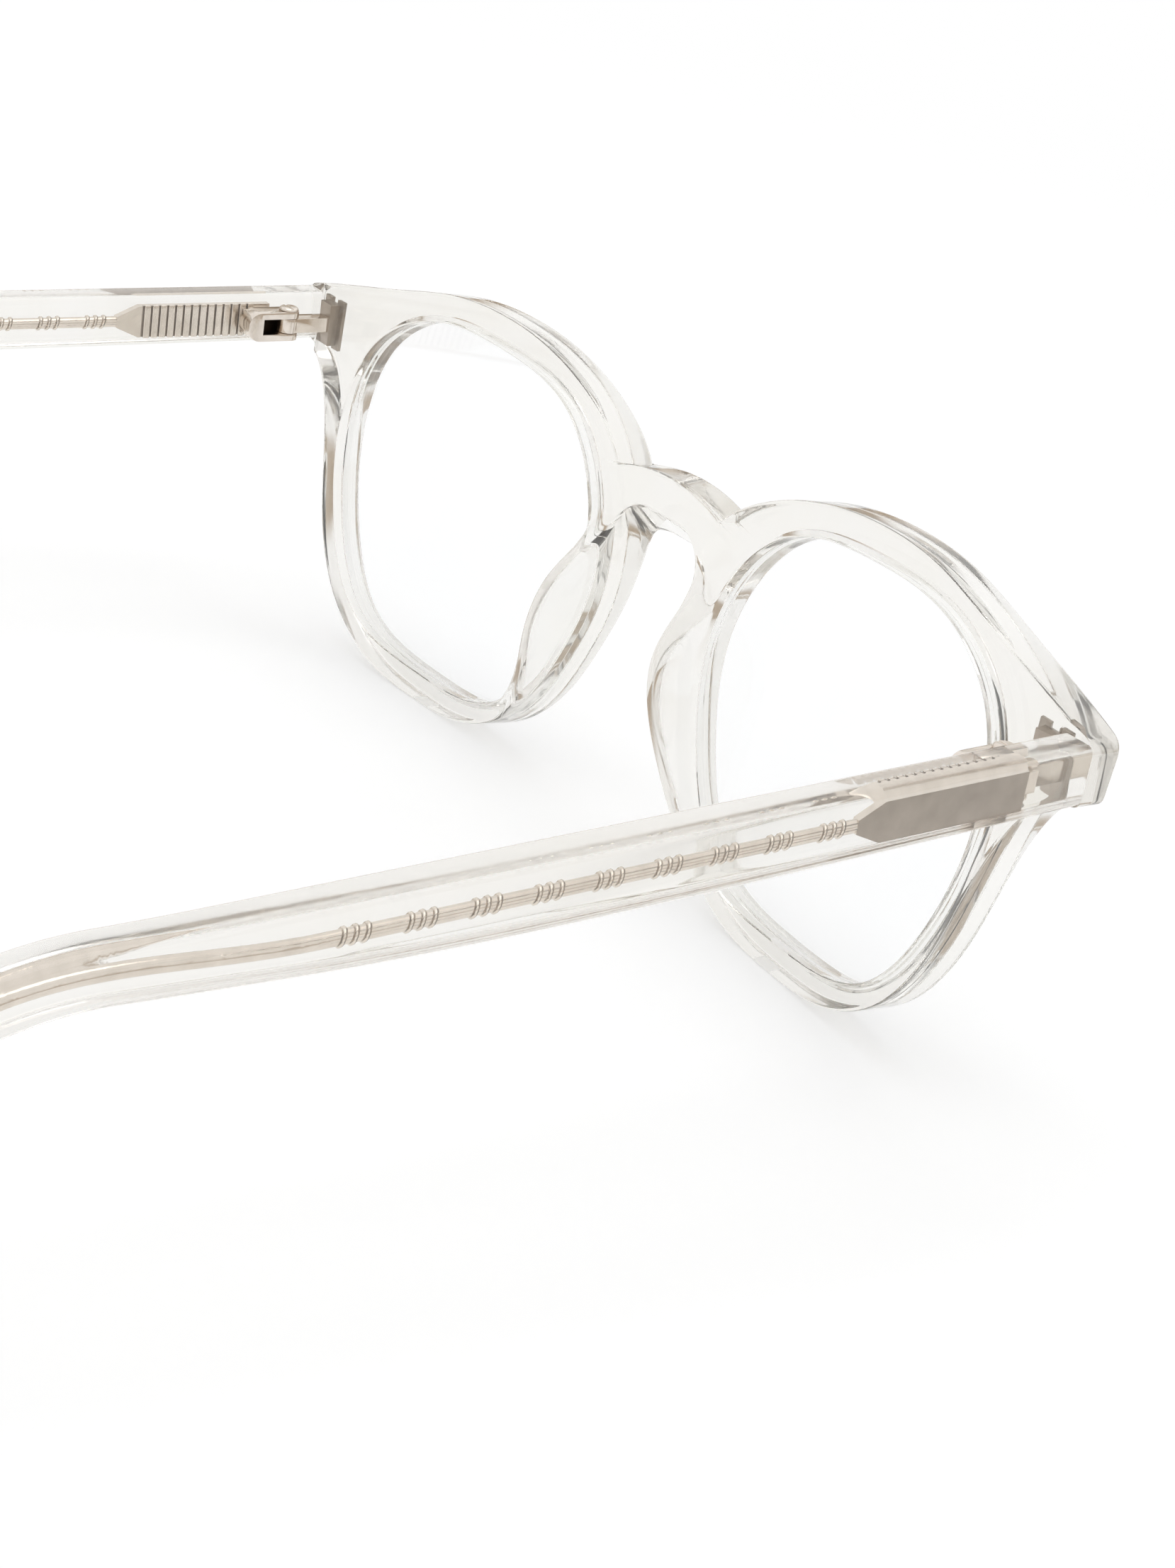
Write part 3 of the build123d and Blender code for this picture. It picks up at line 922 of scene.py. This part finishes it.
    def build(self, acetate: bpy.types.Material, seats: list) -> bpy.types.Object:
        """Build the front, mill the temples' seats into it and dress it.

        Args:
            acetate: Its finish.
            seats: Objects whose shapes are cut away from the end pieces.

        Returns:
            The finished front.
        """
        verts, faces = self.half()
        other = verts * (-1, 1, 1)
        flipped = [tuple(len(verts) + v for v in face[::-1]) for face in faces]
        piece = new_piece("acetate_front", np.vstack([verts, other]), faces + flipped, self.crease)
        for seat in seats:
            cut = piece.modifiers.new("seat", "BOOLEAN")
            cut.object, cut.operation, cut.solver = seat, "DIFFERENCE", "EXACT"
        baked(piece, self.crease)
        for seat in seats:
            bpy.data.objects.remove(seat)
        dress(piece, acetate)
        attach(piece, "front")
        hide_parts("front_frame", "left_nose_pad", "right_nose_pad")
        return piece


# ------------------------------------------------------------------ the temples
@dataclass
class Arm:
    """Where one temple lies: u runs back from the hinge pin, v up along it and w outwards."""

    side: Side
    joint: dict  # the frame's left joint; the right one is its mirror image
    splay: float = 2.2

    def __post_init__(self) -> None:
        """Read the pin's place and direction from the joint."""
        self.pin, self.up = Vector(self.joint["pos_m"]) / MM, Vector(self.joint["axis"])
        lean = math.radians(self.splay)
        self.back = Vector((math.sin(lean), math.cos(lean) * self.up.z, -math.cos(lean) * self.up.y))
        self.out = self.back.cross(self.up)

    def world(self, local: np.ndarray) -> np.ndarray:
        """Return places in the frame for an array of places (u, v, w)."""
        axes = np.array([self.back, self.up, self.out])
        return (np.asarray(local, float) @ axes + np.array(self.pin)) * (self.side.value, 1, 1)

    def local(self, place: Vector) -> tuple:
        """Find a point of the frame along the temple.

        Args:
            place: The point, in metres.

        Returns:
            Its u, v and w, in millimetres.
        """
        place = place / MM
        rel = Vector((place.x * self.side.value, place.y, place.z)) - self.pin
        return rel.dot(self.back), rel.dot(self.up), rel.dot(self.out)

    def placed(self, mesh: bpy.types.Mesh, start: tuple) -> None:
        """Move a mesh made in (u, v, w), in metres, to its place in the frame.

        Args:
            mesh: The mesh.
            start: Where its origin comes, as (u, v, w) in millimetres.
        """
        mesh.transform(Matrix.Translation(Vector(start) * MM))
        flip = Matrix.Diagonal((self.side.value, 1, 1, 1))
        axes = Matrix((self.back, self.up, self.out)).transposed().to_4x4()
        mesh.transform(flip @ Matrix.Translation(self.pin * MM) @ axes)
        if self.side is Side.RIGHT:
            mesh.flip_normals()


@dataclass
class Temple:
    """One temple: a flat bar with a bent ear, cut from clear sheet over its metal core."""

    arm: Arm
    thickness: float = 4.0
    height: float = 6.0
    neck: float = 4.7
    front_u: float = -5.45
    top_v: float = 3.45
    inner_w: float = 1.4
    bend_u: float = 92.0
    bend_radius: float = 30.0
    ear_angle: float = 40.0
    tip_radius: float = 3.8
    tip_end: float = 0.001  # height left at the very end of the tip's rounding
    curl_radius: float = 150.0
    curl_start: float = 84.0
    thinning: float = 0.6
    swell: float = 0.35
    edge: float = 0.8
    seat_gap: float = 0.15
    seat_reach: float = 20.0
    bar_lines: int = 80
    bend_lines: int = 26
    ear_lines: int = 18
    tip_lines: int = 18

    def curl(self, u: np.ndarray) -> np.ndarray:
        """Return how far the ear has curled inwards at u."""
        return self.curl_radius - np.sqrt(self.curl_radius**2 - np.maximum(u - self.curl_start, 0) ** 2)

    def edges(self) -> tuple:
        """Follow the temple's two long edges from its front to the end of its tip.

        Returns:
            The points (u, v) of the top edge and those of the lower edge opposite them.
        """
        angle = math.radians(self.ear_angle)
        along = np.array([math.cos(angle), -math.sin(angle)])
        across = np.array([math.sin(angle), math.cos(angle)])
        middle = np.array([self.bend_u, self.top_v - self.bend_radius])
        start = middle + across * (self.bend_radius - self.neck / 2)
        tip = start + along * self.ear_length(start, along)
        turn = np.linspace(0, angle, self.bend_lines)[:, None]
        arc = np.hstack([np.sin(turn), np.cos(turn)])
        run = np.linspace(self.front_u, self.bend_u, self.bar_lines)
        under = spline([
            (self.front_u, self.top_v - self.height),
            (0.49 * self.bend_u, self.top_v - self.height - self.swell),
            (0.82 * self.bend_u, self.top_v - self.height + self.swell),
            (self.bend_u, self.top_v - self.neck),
        ], 5 * self.bar_lines, ends=((1, -0.01), (1, 0.035)))
        close = np.linspace(0, math.pi / 2, self.tip_lines)[1:, None]
        both = []
        for level, radius, side in (
            (self.top_v, self.bend_radius, 1),
            (np.interp(run, *under.T), self.bend_radius - self.neck, -1),
        ):
            bend = middle + arc[1:] * radius
            ear = spline([bend[-1], tip + side * across * self.tip_radius],
                         self.ear_lines, ends=(along, along))
            end = tip + self.tip_radius * (side * np.cos(close) * across + np.sin(close) * along)
            both.append(np.vstack([np.stack([run, 0 * run + level], axis=1), bend, ear[1:], end]))
        return tuple(both)

    def ear_length(self, start: np.ndarray, along: np.ndarray) -> float:
        """Return the length of the ear that brings the tip down to the table.

        Args:
            start: The middle of the ear's start, as (u, v).
            along: The ear's direction.

        Returns:
            The length from there to the middle of the tip's rounding.
        """
        back, up, pin = self.arm.back, self.arm.up, self.arm.pin
        fall = pin.z + start[0] * back.z + start[1] * up.z - self.tip_radius
        return fall / -(along[0] * back.z + along[1] * up.z)

    def build(self, acetate: bpy.types.Material) -> bpy.types.Object:
        """Build and dress the temple.

        Args:
            acetate: Its finish.

        Returns:
            The finished temple.
        """
        top, low = self.edges()
        middle, rise = (top + low) / 2, top - low
        height = np.linalg.norm(rise, axis=1)
        height[-1] = max(height[-1], self.tip_end)
        rise[-1] = rise[-2]
        rise /= np.linalg.norm(rise, axis=1)[:, None]
        u = middle[:, 0]
        thin = self.thinning * np.clip((u - self.curl_start) / (u.max() - self.curl_start), 0, 1) ** 2
        outer = self.inner_w + self.thickness - self.curl(u)
        inner = self.inner_w + thin - self.curl(u)
        run = travelled(middle)
        trim = roundover(run[-1] - run, self.edge)
        half_w, mid_w = (outer - inner) / 2 - trim, (outer + inner) / 2
        round_v = np.minimum(self.edge, height / 2)
        turn = np.linspace(0, math.pi / 2, ROUND_LINES)
        rings = []
        for side_w, side_v in ((1, 1), (-1, 1), (-1, -1), (1, -1)):
            for a in turn[::side_w * side_v]:
                w = mid_w + side_w * (half_w - self.edge + self.edge * math.cos(a))
                v = side_v * (height / 2 - round_v + round_v * math.sin(a))
                rings.append(np.column_stack([middle + rise * v[:, None], w]))
        ring = np.stack(rings, axis=1)
        count, across = ring.shape[:2]
        faces = ring_faces(count, across, closed=False)
        faces += [tuple(range(across)), tuple((count - 1) * across + j for j in range(across))]
        word = self.arm.side.word
        piece = new_piece(f"{word}_temple_acetate", self.arm.world(ring.reshape(-1, 3)), faces)
        dress(piece, acetate)
        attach(piece, f"{word}_temple")
        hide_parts(f"{word}_temple")
        return piece

    def seat(self) -> bpy.types.Object:
        """Make the block that mills this temple's seat into the end piece.

        Returns:
            The block, which isn't part of the glasses.
        """
        gap, reach = self.seat_gap, self.seat_reach
        space = block((self.front_u - gap, -reach, self.inner_w - gap),
                      (self.front_u + reach, reach, self.inner_w + reach))
        return new_piece(f"{self.arm.side.word}_seat", self.arm.world(space), BLOCK_FACES)


# ------------------------------------------------------------------ geometry nodes
def node_group(name: str, inputs: dict) -> tuple:
    """Return a new geometry tree with named inputs.

    Args:
        name: The tree's name.
        inputs: Socket types by input name.

    Returns:
        The tree, the sockets of its inputs by name and their identifiers by name.
    """
    tree = bpy.data.node_groups.new(name, "GeometryNodeTree")
    tree.interface.new_socket("Geometry", in_out="OUTPUT", socket_type="NodeSocketGeometry")
    ids = {
        key: tree.interface.new_socket(key, in_out="INPUT", socket_type=kind).identifier
        for key, kind in inputs.items()
    }
    return tree, add_node(tree, "NodeGroupInput").outputs, ids


def in_a_row(tree: bpy.types.NodeTree, item: bpy.types.NodeSocket, count: bpy.types.NodeSocket,
             pitch: bpy.types.NodeSocket) -> bpy.types.NodeSocket:
    """Return copies of an item in a row along x.

    Args:
        tree: The tree.
        item: The geometry that is repeated.
        count: How often it is there.
        pitch: From each copy to the next.

    Returns:
        The socket of the copies.
    """
    step = add_node(tree, "ShaderNodeCombineXYZ", {"X": pitch})
    row = add_node(tree, "GeometryNodeMeshLine", {"Count": count, "Offset": step.outputs[0]})
    return add_node(tree, "GeometryNodeInstanceOnPoints",
                    {"Points": row.outputs[0], "Instance": item}).outputs[0]


def close_tree(tree: bpy.types.NodeTree, shape: bpy.types.NodeSocket, finish: bpy.types.NodeSocket) -> None:
    """End a tree in plain smooth mesh with its finish.

    Args:
        tree: The tree.
        shape: The geometry.
        finish: The material.
    """
    real = add_node(tree, "GeometryNodeRealizeInstances", {"Geometry": shape})
    smooth = add_node(tree, "GeometryNodeSetShadeSmooth", {"Geometry": real.outputs[0]})
    dressed = add_node(tree, "GeometryNodeSetMaterial", {"Geometry": smooth.outputs[0], "Material": finish})
    add_node(tree, "NodeGroupOutput", {"Geometry": dressed.outputs[0]})


def grown(name: str, tree: bpy.types.NodeTree, ids: dict, values: dict) -> bpy.types.Object:
    """Run a geometry tree and return what it makes as one plain mesh.

    Args:
        name: The piece's name.
        tree: The geometry tree.
        ids: The identifiers of its inputs by name.
        values: The inputs' values by name.

    Returns:
        The new piece.
    """
    piece = add_object(name, bpy.data.meshes.new(name))
    maker = piece.modifiers.new("maker", "NODES")
    maker.node_group = tree
    for key, value in values.items():
        maker[ids[key]] = value
    return baked(piece)


# ------------------------------------------------------------------ cores, hinges and lenses
@dataclass
class CoreDetail:
    """What is stamped and wound on a temple's metal core: the plate's ribs and the wire's coils."""

    arm: Arm
    core_w: float = 3.25
    plate_start: float = 1.6
    plate_length: float = 17.4
    plate_thickness: float = 1.3
    rib_count: int = 14
    rib_pitch: float = 1.06
    rib_width: float = 0.86
    rib_height: float = 3.96
    rib_depth: float = 0.22
    coil_start: float = 23.6
    coil_period: float = 5.9
    coil_groups: int = 9
    coil_turns: int = 3
    coil_pitch: float = 1.05
    coil_radius: float = 0.61
    coil_wire: float = 0.27
    coil_slant: float = 0.3  # radians: the rings lie along a thread

    @staticmethod
    def rib_tree() -> tuple:
        """Build the tree that sets rounded ribs in a row.

        Returns:
            The tree and its inputs' identifiers by name.
        """
        tree, given, ids = node_group("core_ribs", {
            "Count": "NodeSocketInt", "Pitch": "NodeSocketFloat", "Width": "NodeSocketFloat",
            "Height": "NodeSocketFloat", "Depth": "NodeSocketFloat", "Finish": "NodeSocketMaterial",
        })
        level, crease = 3, 0.86
        size = add_node(tree, "ShaderNodeCombineXYZ",
                        {"X": given["Width"], "Y": given["Height"], "Z": given["Depth"]})
        cube = add_node(tree, "GeometryNodeMeshCube", {"Size": (1.0, 1.0, 1.0)})
        bar = add_node(tree, "GeometryNodeSubdivisionSurface",
                       {"Mesh": cube.outputs["Mesh"], "Level": level, "Edge Crease": crease})
        rib = add_node(tree, "GeometryNodeTransform", {"Geometry": bar.outputs[0], "Scale": size.outputs[0]})
        close_tree(tree, in_a_row(tree, rib.outputs[0], given["Count"], given["Pitch"]), given["Finish"])
        return tree, ids

    @staticmethod
    def coil_tree() -> tuple:
        """Build the tree that winds groups of rings on the wire.

        Returns:
            The tree and its inputs' identifiers by name.
        """
        tree, given, ids = node_group("wire_coils", {
            "Groups": "NodeSocketInt", "Period": "NodeSocketFloat", "Turns": "NodeSocketInt",
            "Pitch": "NodeSocketFloat", "Radius": "NodeSocketFloat", "Wire": "NodeSocketFloat",
            "Slant": "NodeSocketFloat", "Finish": "NodeSocketMaterial",
        })
        loop, thread = (
            add_node(tree, "GeometryNodeCurvePrimitiveCircle", {"Resolution": count, "Radius": given[radius]})
            for count, radius in ((20, "Radius"), (8, "Wire"))
        )
        ring = add_node(tree, "GeometryNodeCurveToMesh",
                        {"Curve": loop.outputs["Curve"], "Profile Curve": thread.outputs["Curve"]})
        tilt = add_node(tree, "ShaderNodeCombineXYZ", {"Y": math.pi / 2, "Z": given["Slant"]})
        turned = add_node(tree, "GeometryNodeTransform",
                          {"Geometry": ring.outputs[0], "Rotation": tilt.outputs[0]})
        group = in_a_row(tree, turned.outputs[0], given["Turns"], given["Pitch"])
        close_tree(tree, in_a_row(tree, group, given["Groups"], given["Period"]), given["Finish"])
        return tree, ids

    def build(self, metal: bpy.types.Material) -> list:
        """Build the ribs on the plate's inner face and the rings on the wire.

        Args:
            metal: Their finish.

        Returns:
            The finished pieces.
        """
        word = self.arm.side.word
        ribs = grown(f"{word}_core_ribs", *self.rib_tree(), {
            "Count": self.rib_count, "Pitch": self.rib_pitch * MM, "Width": self.rib_width * MM,
            "Height": self.rib_height * MM, "Depth": self.rib_depth * MM, "Finish": metal,
        })
        coils = grown(f"{word}_wire_coils", *self.coil_tree(), {
            "Groups": self.coil_groups, "Period": self.coil_period * MM, "Turns": self.coil_turns,
            "Pitch": self.coil_pitch * MM, "Radius": self.coil_radius * MM, "Wire": self.coil_wire * MM,
            "Slant": self.coil_slant, "Finish": metal,
        })
        first = self.plate_start + self.plate_length - self.rib_count * self.rib_pitch
        self.arm.placed(ribs.data, (first, 0, self.core_w - self.plate_thickness / 2))
        self.arm.placed(coils.data, (self.coil_start, 0, self.core_w))
        for piece in (ribs, coils):
            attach(piece, f"{word}_temple")
        return [ribs, coils]


@dataclass
class Metalwork:
    """The hinges, screws and cores of one side, as the frame has them, the hinge parts and screws with their
    edges broken.
    """

    arm: Arm
    nodes: dict  # the frame's nodes by name
    edge: float = 0.08
    plate_end: float = 21.9
    plate_face: float = 3.8
    groove_floor: float = 2.9
    anchor_start: float = -4.9
    slot_start: float = -0.9
    slot_end: float = 4.2
    slot_half: float = 1.0
    slot_floor: float = 1.36
    slot_back: float = 1.8

    def build(self, metal: bpy.types.Material, stamped_and_shaded: bpy.types.Material,
              shade: bpy.types.Material) -> list:
        """Dress the core and replace the hinge parts by ones with broken edges.

        Args:
            metal: Finish of the hinges, the screws, the wire and the plate's inner side.
            stamped_and_shaded: Finish of the plate's outer face, its grooves and the anchors: duller, and
                darker as painted shade.
            shade: Finish at the bottom of the fork's slot, a dark painted shade.

        Returns:
            The finished pieces.
        """
        word = self.arm.side.word
        # the plate's outer face and its grooves get the darker finish, a painted shade
        pieces = [dress(self.nodes[f"{word}_temple_core"], metal, stamped_and_shaded, self.in_shade)]
        for node, body in (("front_hinge", "front"), ("temple_hinge", f"{word}_temple"),
                           ("hinge_screw", f"{word}_temple")):
            piece = with_broken_edges(self.nodes[f"{word}_{node}"], f"{word}_{node}_polished", self.edge)
            # the anchors get the darker finish, a painted shade
            dress(piece, metal, stamped_and_shaded, lambda place: self.arm.local(place)[0] < self.anchor_start)
            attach(piece, body)
            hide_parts(f"{word}_{node}")
            pieces.append(piece)
        pieces.append(self.slot(metal, shade))
        return pieces

    def in_shade(self, place: Vector) -> bool:
        """Tell whether a place on the core is on the plate's outer face or in a groove, which take painted
        shade.
        """
        along, _, out = self.arm.local(place)
        return along < self.plate_end and (out > self.plate_face or abs(out - self.groove_floor) < LEVEL)

    def slot(self, metal: bpy.types.Material, shade: bpy.types.Material) -> bpy.types.Object:
        """Build the bottom of the fork's slot, painted dark as shade on the side that faces the slot.

        Args:
            metal: Its finish.
            shade: Its finish towards the slot, a dark painted shade.

        Returns:
            The finished piece.
        """
        word = self.arm.side.word
        bottom = block((self.slot_start, -self.slot_half, self.slot_floor),
                       (self.slot_end, self.slot_half, self.slot_back))
        piece = new_piece(f"{word}_slot_floor", self.arm.world(bottom), BLOCK_FACES)
        # the face towards the slot is painted dark as its shade
        dress(piece, metal, shade, lambda place: self.arm.local(place)[2] < self.slot_floor + LEVEL)
        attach(piece, f"{word}_temple")
        return piece


@dataclass
class Lens:
    """One clear lens, as the frame has it."""

    side: Side
    nodes: dict

    def build(self, clear: bpy.types.Material) -> bpy.types.Object:
        """Dress the lens and return it."""
        return dress(self.nodes[f"{self.side.word}_lens"], clear)


# ------------------------------------------------------------------ studio
@dataclass
class Studio:
    """Pale table, soft overhead light and the camera; lengths here are metres."""

    place: tuple = (-0.21518, 0.12095, 0.11344)
    right: tuple = (-0.5679, -0.7891, 0.2341)
    up: tuple = (0.4244, -0.0370, 0.9047)
    focal_length: float = 61.86
    film_width: float = 36.0
    nearest: float = 0.01
    floor_reach: float = 6.0
    floor_colours: tuple = ("#F0F0F0", "#F1F1F1")
    floor_grain: float = 0.6  # a very slow variation, so the table isn't one flat colour
    floor_glow: float = 0.33
    sweep: tuple = (0.3, 1.2)  # how far from the object the table fades into the backdrop
    sky: float = 0.62
    lamp_power: float = 12.0
    lamp_size: float = 2.2
    lamp_height: float = 2.4
    room: str = "#AE9B84"  # the dim room under the hem of the light tent, seen in reflections only
    tent: str = "#FFFFFF"
    tent_hem: tuple = (0.06, 0.26)  # the sines of the heights between which the tent begins
    bounces: int = 24  # light turns many times inside thick clear stock before it comes out

    def camera(self) -> None:
        """Place the camera and make it the scene's."""
        right, up = Vector(self.right).normalized(), Vector(self.up)
        back = right.cross(up).normalized()
        turned = Matrix((right, back.cross(right), back)).transposed().to_4x4()
        data = bpy.data.cameras.new("camera")
        data.lens, data.sensor_width, data.clip_start = self.focal_length, self.film_width, self.nearest
        camera = add_object("camera", data)
        camera.matrix_world = Matrix.Translation(self.place) @ turned
        bpy.context.scene.camera = camera

    @staticmethod
    def seen(tree: bpy.types.NodeTree) -> bpy.types.NodeSocket:
        """Tell the rays that meet the background from those that light the object.

        Args:
            tree: The tree of a material or the world.

        Returns:
            A socket that is 1 for rays from the camera, from gloss and through clear things.
        """
        path = add_node(tree, "ShaderNodeLightPath").outputs
        first = maths(tree, "MAXIMUM", path["Is Camera Ray"], path["Is Glossy Ray"])
        return maths(tree, "MAXIMUM", first, path["Is Transmission Ray"])

    @staticmethod
    def fade(tree: bpy.types.NodeTree, value: bpy.types.NodeSocket, span: tuple,
             ends: tuple = (0.0, 1.0)) -> bpy.types.NodeSocket:
        """Return a soft step between two ends, taken where the value passes through a span."""
        return add_node(tree, "ShaderNodeMapRange", {
            "Value": value, "From Min": span[0], "From Max": span[1], "To Min": ends[0], "To Max": ends[1],
        }, interpolation_type="SMOOTHSTEP").outputs[0]

    def floor(self) -> None:
        """Build the table top, which keeps its shadows near the object and fades to white around."""
        mesh = bpy.data.meshes.new("floor")
        reach = self.floor_reach
        mesh.from_pydata([(-reach, -reach, 0), (reach, -reach, 0), (reach, reach, 0), (-reach, reach, 0)],
                         [], [(0, 1, 2, 3)])
        floor = add_object("floor", mesh)
        material, tree = new_material("matt_white_table")
        place, _, colour = mottled(tree, self.floor_grain, self.floor_colours)
        matt = add_node(tree, "ShaderNodeBsdfDiffuse", {"Color": colour})
        seen = self.seen(tree)
        lit = maths(tree, "MULTIPLY", seen, self.floor_glow)
        glow = add_node(tree, "ShaderNodeEmission", {"Strength": lit})
        table = add_node(tree, "ShaderNodeAddShader", {0: matt.outputs[0], 1: glow.outputs[0]})
        away = add_node(tree, "ShaderNodeVectorMath", {0: place}, operation="LENGTH").outputs["Value"]
        far = self.fade(tree, away, self.sweep)
        white = add_node(tree, "ShaderNodeEmission", {"Strength": 1.0})
        whole = add_node(tree, "ShaderNodeMixShader", {
            0: maths(tree, "MULTIPLY", far, seen), 1: table.outputs[0], 2: white.outputs[0],
        })
        add_node(tree, "ShaderNodeOutputMaterial", {"Surface": whole.outputs[0]})
        dress(floor, material)

    def light(self) -> None:
        """Set the light tent, which is the white surroundings, and the overhead lamp."""
        world = bpy.data.worlds.new("studio")
        world.use_nodes = True
        tree = world.node_tree
        tree.nodes.clear()
        toward = add_node(tree, "ShaderNodeTexCoord").outputs["Generated"]
        height = add_node(tree, "ShaderNodeSeparateXYZ", {"Vector": toward}).outputs["Z"]
        under = self.fade(tree, height, self.tent_hem, (1.0, 0.0))
        depth = add_node(tree, "ShaderNodeLightPath").outputs["Glossy Depth"]
        mirrored = maths(tree, "MULTIPLY", depth, under, clamp=True)
        sky = add_node(tree, "ShaderNodeBackground", {
            "Color": blended(tree, mirrored, linear(self.tent), linear(self.room)),
            "Strength": between(tree, self.seen(tree), self.sky, 1.0),
        })
        add_node(tree, "ShaderNodeOutputWorld", {"Surface": sky.outputs[0]})
        bpy.context.scene.world = world
        data = bpy.data.lights.new("overhead", "AREA")
        data.shape, data.size, data.energy = "DISK", self.lamp_size, self.lamp_power
        add_object("overhead", data).location = (0.0, 0.0, self.lamp_height)

    def build(self) -> None:
        """Build the whole studio."""
        self.camera()
        self.floor()
        self.light()
        scene = bpy.context.scene
        scene.view_settings.view_transform = "Standard"
        scene.cycles.max_bounces = scene.cycles.transmission_bounces = self.bounces
        scene.cycles.glossy_bounces = self.bounces


def main(frame: dict) -> None:
    """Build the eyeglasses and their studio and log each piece.

    Args:
        frame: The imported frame's nodes and joints.
    """
    logging.basicConfig(level=logging.INFO, format="%(message)s")
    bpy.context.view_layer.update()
    acetate, clear, metal = CrystalAcetate().build(), ClearLens().build(), POLISHED.build()
    # the two darker finishes are painted shade: on the plate, its grooves and the anchors, and in the slot
    stamped_and_shaded, shade = STAMPED_AND_SHADED.build(), SLOT_SHADE.build()
    Studio().build()
    joint = next(joint for joint in frame["joints"] if joint["name"] == "left_fold")
    temples = [Temple(Arm(side, joint)) for side in Side]
    pieces = [Front().build(acetate, [temple.seat() for temple in temples])]
    for temple in temples:
        arm = temple.arm
        pieces.append(temple.build(acetate))
        pieces += CoreDetail(arm).build(metal)
        pieces += Metalwork(arm, frame["nodes"]).build(metal, stamped_and_shaded, shade)
        pieces.append(Lens(arm.side, frame["nodes"]).build(clear))
    for piece in pieces:
        log.info("%s: %d faces", piece.name, len(piece.data.polygons))


if __name__ == "__main__":
    main(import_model())
